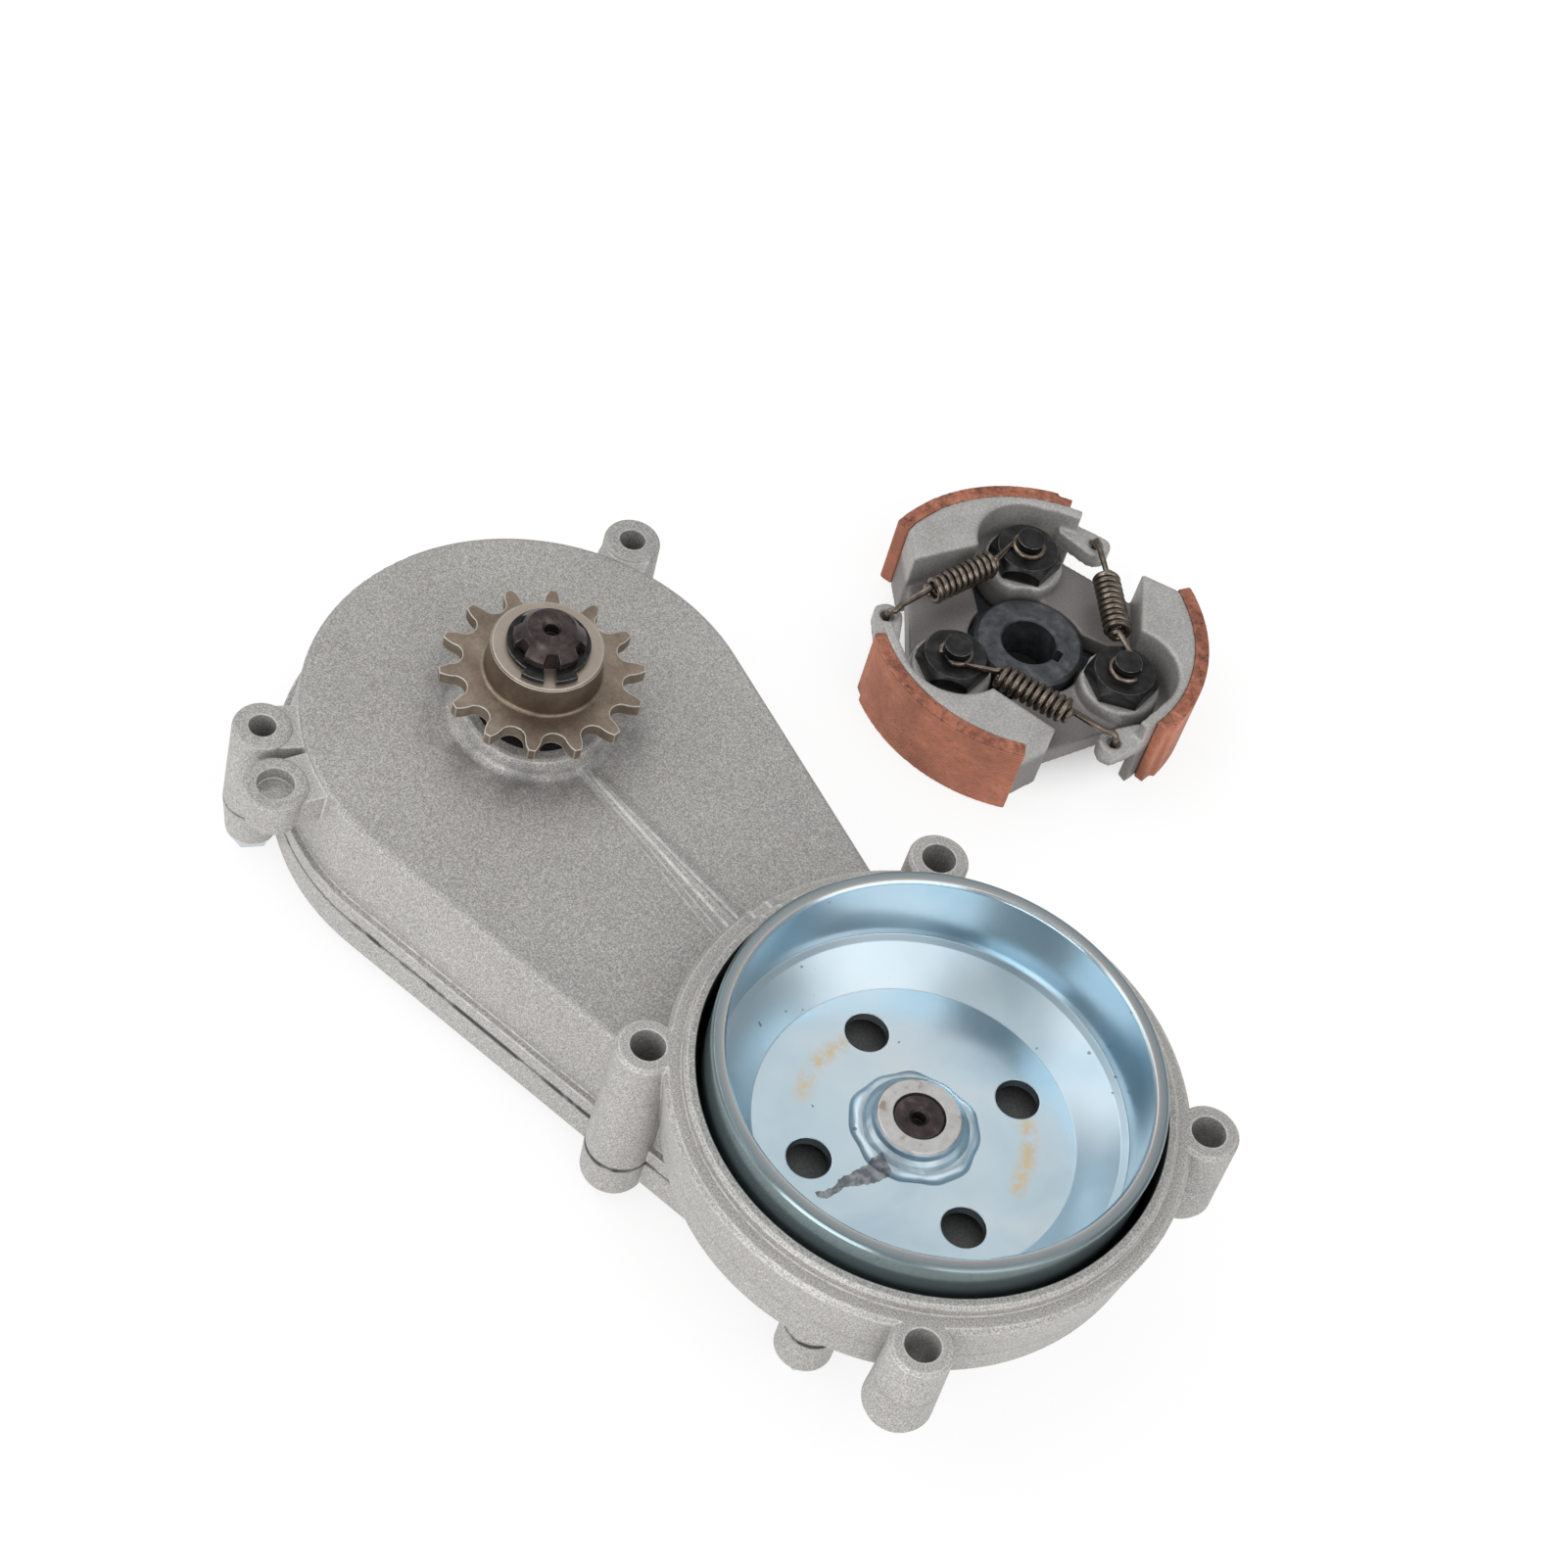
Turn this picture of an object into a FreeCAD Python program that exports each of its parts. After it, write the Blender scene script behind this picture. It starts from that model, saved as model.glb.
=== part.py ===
import FreeCAD, Part
import math
import os

# Reduction gearbox with its clutch drum, and the three-shoe centrifugal clutch that runs in the drum.
# Millimetres. The drum axis is at x = 0, y = 0; z = 0 is the flange face that meets the engine.
# The output shaft stands at x = -centre_distance. The clutch lies beside the gearbox on the same floor.

V = FreeCAD.Vector
Z = V(0, 0, 1)

# Reduction chain and its two sprockets
chain_pitch = 6.35
drive_teeth = 12
driven_teeth = 36
chain_run_links = 17
roller_r = 1.65
roller_width = 3.1
link_plate_t = 0.75
link_plate_h = 5.6
roller_clearance = 0.08
drive_pitch_r = chain_pitch / 2 / math.sin(math.pi / drive_teeth)
driven_pitch_r = chain_pitch / 2 / math.sin(math.pi / driven_teeth)
drive_leave_angle = 90.0
driven_leave_angle = 80.0


def polar(r, degrees, x=0.0, y=0.0, z=0.0):
    a = math.radians(degrees)
    return V(x + r * math.cos(a), y + r * math.sin(a), z)


# The centre distance that lets whole links fill the straight runs
leave_driven = polar(driven_pitch_r, driven_leave_angle)
leave_drive = polar(drive_pitch_r, drive_leave_angle)
run_length = chain_run_links * chain_pitch
run_rise = leave_driven.y - leave_drive.y
centre_distance = math.sqrt(run_length ** 2 - run_rise ** 2) + leave_driven.x - leave_drive.x
output_x = -centre_distance

# Drum
drum_rim_z = 9.0
drum_outer_r = 41.84
drum_wall = 2.84
drum_inner_r = drum_outer_r - drum_wall
drum_step_z = -7.65
drum_floor_z = -13.7
drum_floor_inset = 8.5
drum_floor_r = drum_inner_r - drum_floor_inset
drum_sheet = 2.2
drum_hole_r = 4.25
drum_hole_circle = 21.56
drum_hole_angle = -18.3
drum_hub_r = 8.58
drum_hub_top = -9.3
drum_hub_low_r = 7.4
weld_width = 3.02
weld_r = drum_hub_r + weld_width
weld_h = 2.0
drum_spigot_r = 7.4

# Drum bowl, clear of the drum all round
drum_clearance = 1.62
bowl_r = drum_outer_r + drum_clearance
lip_width = 2.1
flange_width = 5.24
flange_r = bowl_r + flange_width
bowl_wall = 3.14
bowl_low_r = bowl_r + bowl_wall
bowl_floor_z = -18.5
bowl_floor_t = 3.5
bowl_round = 5.0

# Casting levels
flange_z = 0.0
lip_z = 2.5
plate_z = -11.0
plate_t = 2.5
ledge_z = -29.3
parting_z = -33.0
gasket_t = 0.5
cover_top_z = parting_z - gasket_t
cover_face_z = -42.6
cover_floor_t = 2.2
floor_z = -45.0

# Gear case outline: a big end about the output shaft and a small end beside the drum shaft
case_r = 45.2
case_small_r = 23.2
case_lean = -3.6
case_draft = 1.8
case_wall = 3.0
case_edge_r = 1.2
ledge_width = 1.5
cover_edge_r = 3.0

# Engine bosses
engine_boss_overhang = 3.0
engine_bolt_r = flange_r + engine_boss_overhang
engine_boss_top_r = 5.9
engine_boss_low_r = 6.5
engine_boss_chamfer = 0.6
engine_boss_foot_round = 2.0
engine_hole_r = 3.3
engine_first_angle = 45.0
long_boss_low_z = -42.9

# Ears and cover screws: distance and direction from the output shaft, or from the small end's centre
ear_r = 6.1
ear_low_r = 5.1
ear_round = 0.7
ear_screw_sites = [(52.3, -120.0), (51.4, 117.5)]
blind_ear_site = (53.2, -105.0)
blind_ear_r = 6.4
blind_ear_low_z = -21.0
blind_recess_r = 3.6
blind_recess_depth = 3.0
bowl_screw_sites = [(30.65, -65.5), (30.65, 65.5)]
bowl_screw_boss_r = 5.6
screw_r = 2.5
screw_hole_r = 2.65
screw_pass_r = 2.8
screw_head_af = 8.0
screw_head_h = 2.4
screw_flange_r = 4.9
screw_flange_h = 0.7
screw_tip_z = -20.0
dowel_r = 4.6
dowel_bore_r = 3.6
dowel_half_length = 4.0

# Output boss, rib and seal
output_boss_r = 15.0
output_boss_h = 4.0
output_boss_round = 1.1
output_boss_fillet = 1.9
rib_width = (1.0, 4.2)
rib_height = (0.8, 1.5)
rib_flank = 1.0
seal_r = 12.0
seal_t = 5.0
seal_recess = 0.6
seal_lip_gap = 0.05

# Bearings: outer radius, bore radius and width
bearing_input = (13.0, 5.0, 8.0)
bearing_output = (16.0, 7.5, 9.0)
bearing_tail = (14.0, 6.0, 8.0)
seat_gap = 0.02
running_gap = 0.05
race_t = 0.3
bearing_boss_wall = 3.0
input_bearing_top = -19.0
output_bearing_top = -14.6
tail_bearing_top = -35.5
cover_boss_z = -44.7
chain_z = -31.0

# Shafts
input_shaft_r = 5.0
centre_drill_r = 1.4
centre_drill_depth = 3.0
output_shaft_r = 7.5
output_tail_r = 6.0
spline_r = 7.0
spline_root_r = 5.7
spline_count = 6
spline_angle = -36.0
spline_low_z = -3.5
output_top_z = 15.5
output_end_r = 4.7
output_chamfer_h = 2.6

# Front sprocket
front_pitch = 8.0
front_teeth = 14
front_roller_r = 2.5
front_tip_r = 19.95
front_face_z = 3.0
front_t = 2.8
front_hub_r = 11.0
front_hub_foot_r = 11.2
front_hub_top = 10.2
front_tooth_angle = 19.0
circlip_t = 1.1
circlip_r = 8.1
circlip_lug_r = 9.6
circlip_lug_spread = 34.0
circlip_gap_angle = -38.0
circlip_gap = 2.2

# Clutch
clutch_from_output = 31.1
clutch_x = output_x + clutch_from_output
clutch_y = 116.6
clutch_angle = 20.5
clutch_r = 37.7
shoe_height = 18.6
shoe_edge_r = 0.8
lining_t = 3.1
lining_step = 0.8
lining_start = -17.2
lining_end = 50.8
lining_step_angle = 5.0
bolt_circle = 21.3
pocket_r = 11.4
wall_inner_r = 32.2
wall_end_angle = -22.2
heel_r = 29.4
heel_angle = 62.8
eye_r = 8.8
eye_top_z = -32.0
eye_round = 0.7
eye_bore_r = 5.05
pivot_r = 5.0
arm_top_z = -35.5
arm_low_z = -40.2
arm_inner_r = 13.2
hook_ear_r = 31.8
hook_ear_angle = -31.5
hook_ear_pad_r = 3.4
hook_hole_r = 1.5
hook_ear_top_z = -31.0
hook_ear_t = 4.2
part_gap = 0.3
hub_r = 12.0
hub_top_z = -34.0
hub_bore_r = 6.0
hub_key_width = 3.2
hub_key_depth = 1.7
hub_plate_t = 3.0
hub_plate_corner_r = 8.2
head_af = 14.0
head_h = 3.9
head_disc_r = 6.6
post_r = 2.3
post_head_r = 3.0
post_head_t = 1.3
post_top_z = -25.0
wire_r = 0.52
coil_r = 2.35
coil_turns = 11
bend_swell = 0.04
coil_start = 0.27
coil_end = 0.70
spring_post_z = -27.4


def cyl(r, z0, z1, x=0.0, y=0.0):
    return Part.makeCylinder(r, z1 - z0, V(x, y, z0))


def cone(r0, r1, z0, z1, x=0.0, y=0.0):
    return Part.makeCone(r0, r1, z1 - z0, V(x, y, z0))


def ring(outer, inner, z0, z1, x=0.0, y=0.0):
    return cyl(outer, z0, z1, x, y).cut(cyl(inner, z0 - 1, z1 + 1, x, y))


def turned(points, x=0.0, y=0.0):
    """Solid turned about an upright axis from (radius, z) points; three-item entries are arc middles."""
    edges = []
    last = V(points[0][0], 0, points[0][1])
    middle = None
    for entry in points[1:] + [points[0]]:
        here = V(entry[0], 0, entry[1])
        if len(entry) == 3:
            middle = here
            continue
        if middle is not None:
            edges.append(Part.Arc(last, middle, here).toShape())
            middle = None
        elif here.distanceToPoint(last) > 1e-6:
            edges.append(Part.LineSegment(last, here).toShape())
        last = here
    solid = Part.Face(Part.Wire(edges)).revolve(V(0, 0, 0), Z, 360)
    solid.translate(V(x, y, 0))
    return solid


def polygon_prism(points, z0, z1):
    ring_points = [V(p.x, p.y, z0) for p in points]
    face = Part.Face(Part.makePolygon(ring_points + [ring_points[0]]))
    return face.extrude(V(0, 0, z1 - z0))


def hexagon(across_flats, z0, z1, x=0.0, y=0.0, turn=0.0):
    corner = across_flats / 2 / math.cos(math.pi / 6)
    return polygon_prism([polar(corner, turn + 60 * i, x, y) for i in range(6)], z0, z1)


def belt_wire(p0, r0, p1, r1, z):
    """Outline round two circles and their outer tangents, as arc, line, arc, line."""
    along = math.degrees(math.atan2(p1.y - p0.y, p1.x - p0.x))
    reach = math.hypot(p1.x - p0.x, p1.y - p0.y)
    side = math.degrees(math.acos((r0 - r1) / reach))
    a0 = polar(r0, along + side, p0.x, p0.y, z)
    b0 = polar(r0, along - side, p0.x, p0.y, z)
    a1 = polar(r1, along + side, p1.x, p1.y, z)
    b1 = polar(r1, along - side, p1.x, p1.y, z)
    far0 = polar(r0, along + 180, p0.x, p0.y, z)
    far1 = polar(r1, along, p1.x, p1.y, z)
    return Part.Wire([
        Part.Arc(a0, far0, b0).toShape(),
        Part.LineSegment(b0, b1).toShape(),
        Part.Arc(b1, far1, a1).toShape(),
        Part.LineSegment(a1, a0).toShape(),
    ])


def belt_prism(p0, r0, p1, r1, z0, z1):
    return Part.Face(belt_wire(p0, r0, p1, r1, z0)).extrude(V(0, 0, z1 - z0))


def save(name, shape):
    if shape.ShapeType == "Compound" and len(shape.Solids) == 1:
        shape = shape.Solids[0]
    shape.exportStep("parts/" + name + ".step")


S = V(output_x, 0, 0)
D = V(0, 0, 0)
case_end = V(0, case_lean, 0)


def case_loft(inset, z_top, z_low):
    """Drafted gear case block between two levels, drawn in by an inset."""
    slope = case_draft / (plate_z - ledge_z)
    wires = []
    for z in (z_top, z_low):
        grow = slope * (plate_z - z) - inset
        wires.append(belt_wire(S, case_r + grow, case_end, case_small_r + grow, z))
    return Part.makeLoft(wires, True, True)


def parting_flange(inset, z0, z1):
    grow = case_draft + ledge_width - inset
    return belt_prism(S, case_r + grow, case_end, case_small_r + grow, z0, z1)


def site(centre, place):
    return polar(place[0], place[1], centre.x, centre.y)


ear_points = [site(S, place) for place in ear_screw_sites]
blind_point = site(S, blind_ear_site)
bowl_screw_points = [site(case_end, place) for place in bowl_screw_sites]
screw_points = ear_points + bowl_screw_points
engine_points = [polar(engine_bolt_r, engine_first_angle + 90 * i) for i in range(4)]
long_bosses = [p for p in engine_points if p.x < 0]


def round_corner(r, z, size, way):
    """Profile entries for an eased rim in two steps: way is 1 for a top rim and -1 for a bottom rim."""
    mid = size * (1 - math.sqrt(0.5))
    rim = [(r, z - way * size), (r - mid, z - way * mid), (r - size, z)]
    return rim if way > 0 else rim[::-1]


def boss(point, r_low, r_top, z0, z1, size=0.0, low_size=0.0):
    """Tapered round boss; either rim is eased where a size is given."""
    profile = [(0, z0)]
    profile += round_corner(r_low, z0, low_size, -1) if low_size else [(r_low, z0)]
    profile += round_corner(r_top, z1, size, 1) if size else [(r_top, z1)]
    profile.append((0, z1))
    return turned(profile, point.x, point.y)


def web(point, r, z0, z1):
    """Straight-sided web from the big end of the case out to a lug."""
    away = (point - S).normalize()
    root = S + away * (case_r - r - 2)
    side = V(-away.y, away.x, 0) * r
    return polygon_prism([root + side, root - side, point - side, point + side], z0, z1)


def engine_boss(point):
    """Engine boss with a chamfered rim; the two over the gear case run down to the parting line."""
    rim = engine_boss_chamfer
    profile = [(0, parting_z), (engine_boss_low_r, parting_z)]
    if point not in long_bosses:
        low = bowl_floor_z - bowl_floor_t
        profile = [(0, low)] + round_corner(engine_boss_low_r, low, engine_boss_foot_round, -1)
    profile += [(engine_boss_top_r, flange_z - rim), (engine_boss_top_r - rim, flange_z), (0, flange_z)]
    return turned(profile, point.x, point.y)


def bowl_outer():
    low = bowl_floor_z - bowl_floor_t
    turn_z = low + bowl_round
    mid = bowl_round * (1 - math.sqrt(0.5))
    return turned([
        (0, low),
        (bowl_low_r - bowl_round, low),
        (bowl_low_r - mid, low + mid, "arc"),
        (bowl_low_r, turn_z),
        (flange_r, -1.0),
        (flange_r - 0.8, flange_z),
        (0, flange_z),
    ])


def bowl_space():
    inner_round = 2.0
    mid = inner_round * (1 - math.sqrt(0.5))
    return turned([
        (0, bowl_floor_z),
        (bowl_r - inner_round, bowl_floor_z),
        (bowl_r - mid, bowl_floor_z + mid, "arc"),
        (bowl_r, bowl_floor_z + inner_round),
        (bowl_r, lip_z + 1),
        (0, lip_z + 1),
    ])


def front_case():
    block = case_loft(0, plate_z, ledge_z)
    top_edges = [e for e in block.Edges if abs(e.BoundBox.ZMin - plate_z) < 0.01 and e.BoundBox.ZLength < 0.01]
    block = block.makeFillet(case_edge_r, top_edges)
    outside = [parting_flange(0, parting_z, ledge_z)]
    for p in ear_points:
        outside.append(boss(p, ear_r, ear_r - 0.3, parting_z, plate_z, ear_round))
        outside.append(web(p, ear_r - 1.0, parting_z, plate_z - ear_round))
    outside.append(boss(blind_point, blind_ear_r - 0.4, blind_ear_r, blind_ear_low_z, plate_z, ear_round, 2.5))
    outside.append(web(blind_point, blind_ear_r - 1.0, blind_ear_low_z + 2.5, plate_z - ear_round))
    outside.append(bowl_outer())
    outside.append(turned([
        (bowl_r - 1, flange_z - 1), (bowl_r + lip_width, flange_z - 1), (bowl_r + lip_width, lip_z - 0.6),
        (bowl_r + lip_width - 0.6, lip_z), (bowl_r - 1, lip_z),
    ]))
    outside += [engine_boss(p) for p in engine_points]
    for p in bowl_screw_points:
        outside.append(cyl(bowl_screw_boss_r, parting_z, bowl_floor_z - 1, p.x, p.y))
    outside.append(output_boss())
    solid = block.multiFuse(outside)

    # Gear space under the plate, kept clear of the bowl wall
    space = case_loft(case_wall, plate_z - plate_t, parting_z - 1)
    keep = [bowl_outer()]
    keep += [cyl(r + 0.6, parting_z, plate_z, p.x, p.y) for p, r in lug_cores()]
    for core in keep:
        space = space.cut(core)
    solid = solid.cut(space)

    bearing_bosses = [
        cyl(bearing_input[0] + bearing_boss_wall, input_bearing_top - bearing_input[2], bowl_floor_z),
        cyl(bearing_output[0] + bearing_boss_wall, output_bearing_top - bearing_output[2], plate_z - 1, S.x),
    ]
    solid = solid.multiFuse(bearing_bosses)
    solid = solid.fuse(plate_rib())

    cuts = [bowl_space()]
    cuts.append(cyl(bearing_input[0] + seat_gap, parting_z, input_bearing_top))
    cuts.append(cyl(drum_spigot_r + 1.6, parting_z, bowl_floor_z + 1))
    cuts.append(cyl(bearing_output[0] + seat_gap, parting_z, output_bearing_top, S.x))
    cuts.append(cyl(output_shaft_r + 2, parting_z, lip_z, S.x))
    seal_low = plate_z + output_boss_h - seal_recess - seal_t
    cuts.append(cyl(seal_r + seat_gap, seal_low, lip_z, S.x))
    for p in engine_points:
        cuts.append(cyl(engine_hole_r, parting_z - 1, lip_z, p.x, p.y))
    for p in long_bosses:
        cuts.append(cyl(dowel_r + seat_gap, parting_z - 1, parting_z + dowel_half_length, p.x, p.y))
    for p in ear_points:
        cuts.append(cyl(screw_hole_r, parting_z - 1, plate_z + 1, p.x, p.y))
    for p in bowl_screw_points:
        cuts.append(cyl(screw_hole_r, parting_z - 1, bowl_floor_z - 1.6, p.x, p.y))
    recess_z = plate_z - blind_recess_depth
    cuts.append(cyl(blind_recess_r, recess_z, plate_z + 1, blind_point.x, blind_point.y))
    for tool in cuts:
        solid = solid.cut(tool)
    return solid.removeSplitter()


def output_boss():
    """Boss round the output shaft with a rounded rim and a hollow fillet at its foot."""
    foot_r = output_boss_r + 0.3 + output_boss_fillet
    mid = output_boss_fillet * (1 - math.sqrt(0.5))
    profile = [(0, plate_z - 1), (foot_r, plate_z - 1), (foot_r, plate_z)]
    profile += [(foot_r - output_boss_fillet + mid, plate_z + mid, "arc")]
    profile += [(foot_r - output_boss_fillet, plate_z + output_boss_fillet)]
    profile += round_corner(output_boss_r, plate_z + output_boss_h, output_boss_round, 1)
    return turned(profile + [(0, plate_z + output_boss_h)], S.x)


def lug_cores():
    """Posts that stay solid beside the gear space, each with its radius."""
    cores = [(p, ear_r) for p in ear_points]
    cores += [(p, bowl_screw_boss_r) for p in bowl_screw_points]
    cores += [(p, engine_boss_low_r) for p in long_bosses]
    return cores


def plate_rib():
    """Low rib on the plate that widens and rises from the output boss to the bowl."""
    low = plate_z - 0.5
    run = (case_end - S).normalize()
    across = V(-run.y, run.x, 0)
    ends = []
    for reach, width, height in zip((output_boss_r - 1, centre_distance - bowl_r - 1), rib_width, rib_height):
        middle = S + run * reach
        top_z = plate_z + height
        foot = width / 2 + rib_flank
        corners = [(-foot, low), (foot, low), (width / 2, top_z), (-width / 2, top_z)]
        points = [V(middle.x, middle.y, z) + across * offset for offset, z in corners]
        ends.append(Part.makePolygon(points + [points[0]]))
    return Part.makeLoft(ends, True, True)


def rear_cover():
    shell = parting_flange(0, cover_face_z, cover_top_z)
    low_edges = [e for e in shell.Edges if e.BoundBox.ZMax < cover_face_z + 0.01]
    shell = shell.makeFillet(cover_edge_r, low_edges)
    space = parting_flange(case_wall + ledge_width, cover_face_z + cover_floor_t, cover_top_z + 1)
    for p, r in lug_cores():
        space = space.cut(cyl(r + 0.6, cover_face_z, cover_top_z + 2, p.x, p.y))
    seat_z = floor_z + screw_head_h
    webs = [web(p, ear_low_r - 0.5, cover_face_z + cover_edge_r, cover_top_z) for p in ear_points]
    shell = shell.multiFuse(webs).cut(space)
    adds = [boss(p, ear_low_r, ear_r, seat_z, cover_top_z) for p in ear_points]
    for p in bowl_screw_points:
        adds.append(cyl(bowl_screw_boss_r, seat_z, cover_top_z, p.x, p.y))
    for p in long_bosses:
        adds.append(boss(p, engine_boss_low_r - 0.3, engine_boss_low_r, long_boss_low_z, cover_top_z, 0.0, 1.2))
    for centre_x, bearing in ((0, bearing_input), (S.x, bearing_tail)):
        r = bearing[0] + bearing_boss_wall
        adds.append(cyl(r, cover_face_z, tail_bearing_top, centre_x))
        adds.append(cone(r - 1.2, r, cover_boss_z, cover_face_z, centre_x))
    solid = shell.multiFuse(adds)
    cuts = []
    for centre_x, bearing in ((0, bearing_input), (S.x, bearing_tail)):
        low = tail_bearing_top - bearing[2]
        cuts.append(cyl(bearing[0] + seat_gap, low, cover_top_z + 1, centre_x))
    for p in screw_points:
        cuts.append(cyl(screw_pass_r, floor_z, cover_top_z + 1, p.x, p.y))
    for p in long_bosses:
        cuts.append(cyl(engine_hole_r, floor_z, cover_top_z + 1, p.x, p.y))
        cuts.append(cyl(dowel_r + seat_gap, cover_top_z - dowel_half_length, cover_top_z + 1, p.x, p.y))
    for tool in cuts:
        solid = solid.cut(tool)
    return solid.removeSplitter()


def case_gasket():
    sheet = parting_flange(0.3, cover_top_z, parting_z)
    space = parting_flange(case_wall + ledge_width, cover_top_z - 1, parting_z + 1)
    for p, r in lug_cores():
        space = space.cut(cyl(r + 0.4, cover_top_z - 2, parting_z + 2, p.x, p.y))
    webs = [web(p, ear_low_r - 0.8, cover_top_z, parting_z) for p in ear_points]
    sheet = sheet.multiFuse(webs).cut(space)
    adds = [cyl(ear_r - 0.3, cover_top_z, parting_z, p.x, p.y) for p in ear_points]
    adds += [cyl(bowl_screw_boss_r - 0.3, cover_top_z, parting_z, p.x, p.y) for p in bowl_screw_points]
    adds += [cyl(engine_boss_low_r - 0.2, cover_top_z, parting_z, p.x, p.y) for p in long_bosses]
    sheet = sheet.multiFuse(adds)
    for p in screw_points:
        sheet = sheet.cut(cyl(screw_pass_r, cover_top_z - 1, parting_z + 1, p.x, p.y))
    for p in long_bosses:
        sheet = sheet.cut(cyl(dowel_r + seat_gap, cover_top_z - 1, parting_z + 1, p.x, p.y))
    return sheet.removeSplitter()


def cover_screw(p):
    head_top = floor_z + screw_head_h
    head = hexagon(screw_head_af, floor_z, head_top, p.x, p.y)
    flange = cyl(screw_flange_r, head_top - screw_flange_h, head_top, p.x, p.y)
    shank_top = screw_tip_z if p in ear_points else bowl_floor_z - bowl_floor_t
    return head.multiFuse([flange, cyl(screw_r, floor_z + 1, shank_top, p.x, p.y)])


def group(shapes):
    return Part.makeCompound(shapes)


def dowels():
    low = cover_top_z - dowel_half_length
    top = parting_z + dowel_half_length
    return group([ring(dowel_r, dowel_bore_r, low, top, p.x, p.y) for p in long_bosses])


def bearing_rings(bearing, top, x):
    """Outer ring with its closed shields, and the inner ring inside a running gap."""
    outer_r, bore_r, width = bearing
    inner_edge = bore_r + (outer_r - bore_r) * race_t
    low = top - width
    outer = ring(outer_r, inner_edge + running_gap, low, top, x)
    inner = ring(inner_edge, bore_r, low, top, x)
    return outer, inner


def oil_seal():
    top = plate_z + output_boss_h - seal_recess
    low = top - seal_t
    lip = output_shaft_r + seal_lip_gap
    return turned([
        (seal_r, low), (seal_r, top), (seal_r - 1.6, top), (seal_r - 2.2, top - 0.9), (lip + 1.2, top - 0.9),
        (lip, top - 0.3), (lip, top - 1.7), (lip + 0.9, top - 2.6), (seal_r - 1.2, top - 2.6),
        (seal_r - 1.2, low),
    ], S.x)


def toothed_disc(teeth, pitch, seat_r, tip_r, z0, z1, first_seat=0.0):
    """Roller-chain sprocket disc: a round seat at each roller and flanks that narrow to a flat tip."""
    pitch_r = pitch / 2 / math.sin(math.pi / teeth)
    step = 360.0 / teeth
    tip_half = 0.085 * pitch / tip_r * 57.3
    edges = []
    first = None
    last = None
    for i in range(teeth):
        centre = first_seat + i * step
        seat = polar(pitch_r, centre)
        foot = 62.0
        left = seat + polar(seat_r, centre + 180 + foot)
        right = seat + polar(seat_r, centre + 180 - foot)
        deep = seat + polar(seat_r, centre + 180)
        tip_in = polar(tip_r, centre - step / 2 + tip_half)
        tip_out = polar(tip_r, centre + step / 2 - tip_half)
        if last is not None:
            edges.append(Part.LineSegment(last, tip_in).toShape())
        else:
            first = tip_in
        edges.append(flank(tip_in, left, seat))
        edges.append(Part.Arc(left, deep, right).toShape())
        edges.append(flank(right, tip_out, seat))
        last = tip_out
    edges.append(Part.LineSegment(last, first).toShape())
    disc = Part.Face(Part.Wire(edges)).extrude(V(0, 0, z1 - z0))
    disc.translate(V(0, 0, z0))
    return disc


def flank(a, b, seat):
    """Tooth flank that bulges a little towards the roller seat."""
    middle = (a + b) * 0.5
    bulge = (seat - middle).normalize() * 0.25
    return Part.Arc(a, middle + bulge, b).toShape()


def drive_sprocket():
    half = roller_width / 2 - 0.25
    tip_r = drive_pitch_r + 1.9
    seat_r = roller_r + roller_clearance
    disc = toothed_disc(drive_teeth, chain_pitch, seat_r, tip_r, chain_z - half, chain_z + half)
    top = input_bearing_top - bearing_input[2]
    solid = disc.fuse(cyl(input_shaft_r + 2.6, tail_bearing_top, top))
    return solid.cut(cyl(input_shaft_r, tail_bearing_top - 1, top + 1))


def driven_sprocket():
    half = roller_width / 2 - 0.25
    tip_r = driven_pitch_r + 2.2
    seat_r = roller_r + roller_clearance
    disc = toothed_disc(driven_teeth, chain_pitch, seat_r, tip_r, chain_z - half, chain_z + half)
    hub_top = output_bearing_top - bearing_output[2]
    for i in range(6):
        disc = disc.cut(cyl(5.2, chain_z - 5, chain_z + 5, *polar(23.5, 60 * i)[:2]))
    solid = disc.fuse(cyl(output_shaft_r + 5, tail_bearing_top, hub_top))
    solid = solid.cut(cyl(output_shaft_r, tail_bearing_top - 1, hub_top + 1))
    solid.translate(S)
    return solid


def chain_points():
    """Pin centres in order round both sprockets, one chain pitch apart."""
    driven_step = 360.0 / driven_teeth
    on_driven = round((360 - 2 * driven_leave_angle) / driven_step) + 1
    points = [polar(driven_pitch_r, driven_leave_angle + driven_step * i, S.x) for i in range(on_driven)]
    down_start = polar(driven_pitch_r, -driven_leave_angle, S.x)
    down_end = polar(drive_pitch_r, -drive_leave_angle)
    step = (down_end - down_start) * (1.0 / chain_run_links)
    points += [down_start + step * i for i in range(1, chain_run_links)]
    drive_step = 360.0 / drive_teeth
    on_drive = round(2 * drive_leave_angle / drive_step) + 1
    points += [polar(drive_pitch_r, -drive_leave_angle + drive_step * i) for i in range(on_drive)]
    up_start = polar(drive_pitch_r, drive_leave_angle)
    up_end = polar(driven_pitch_r, driven_leave_angle, S.x)
    step = (up_end - up_start) * (1.0 / chain_run_links)
    points += [up_start + step * i for i in range(1, chain_run_links)]
    return points


def link_plate(a, b, z0):
    """Flat link plate with cut corners, long enough to hold both pins."""
    along = (b - a).normalize()
    side = V(-along.y, along.x, 0) * (link_plate_h / 2)
    end = along * (link_plate_h / 2)
    slant = 0.45
    outline = []
    for point, way in ((a, -1), (b, 1)):
        outline += [point + side * way * -1, point + end * way - side * way * slant,
                    point + end * way + side * way * slant, point + side * way]
    return polygon_prism(outline, z0, z0 + link_plate_t)


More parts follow.
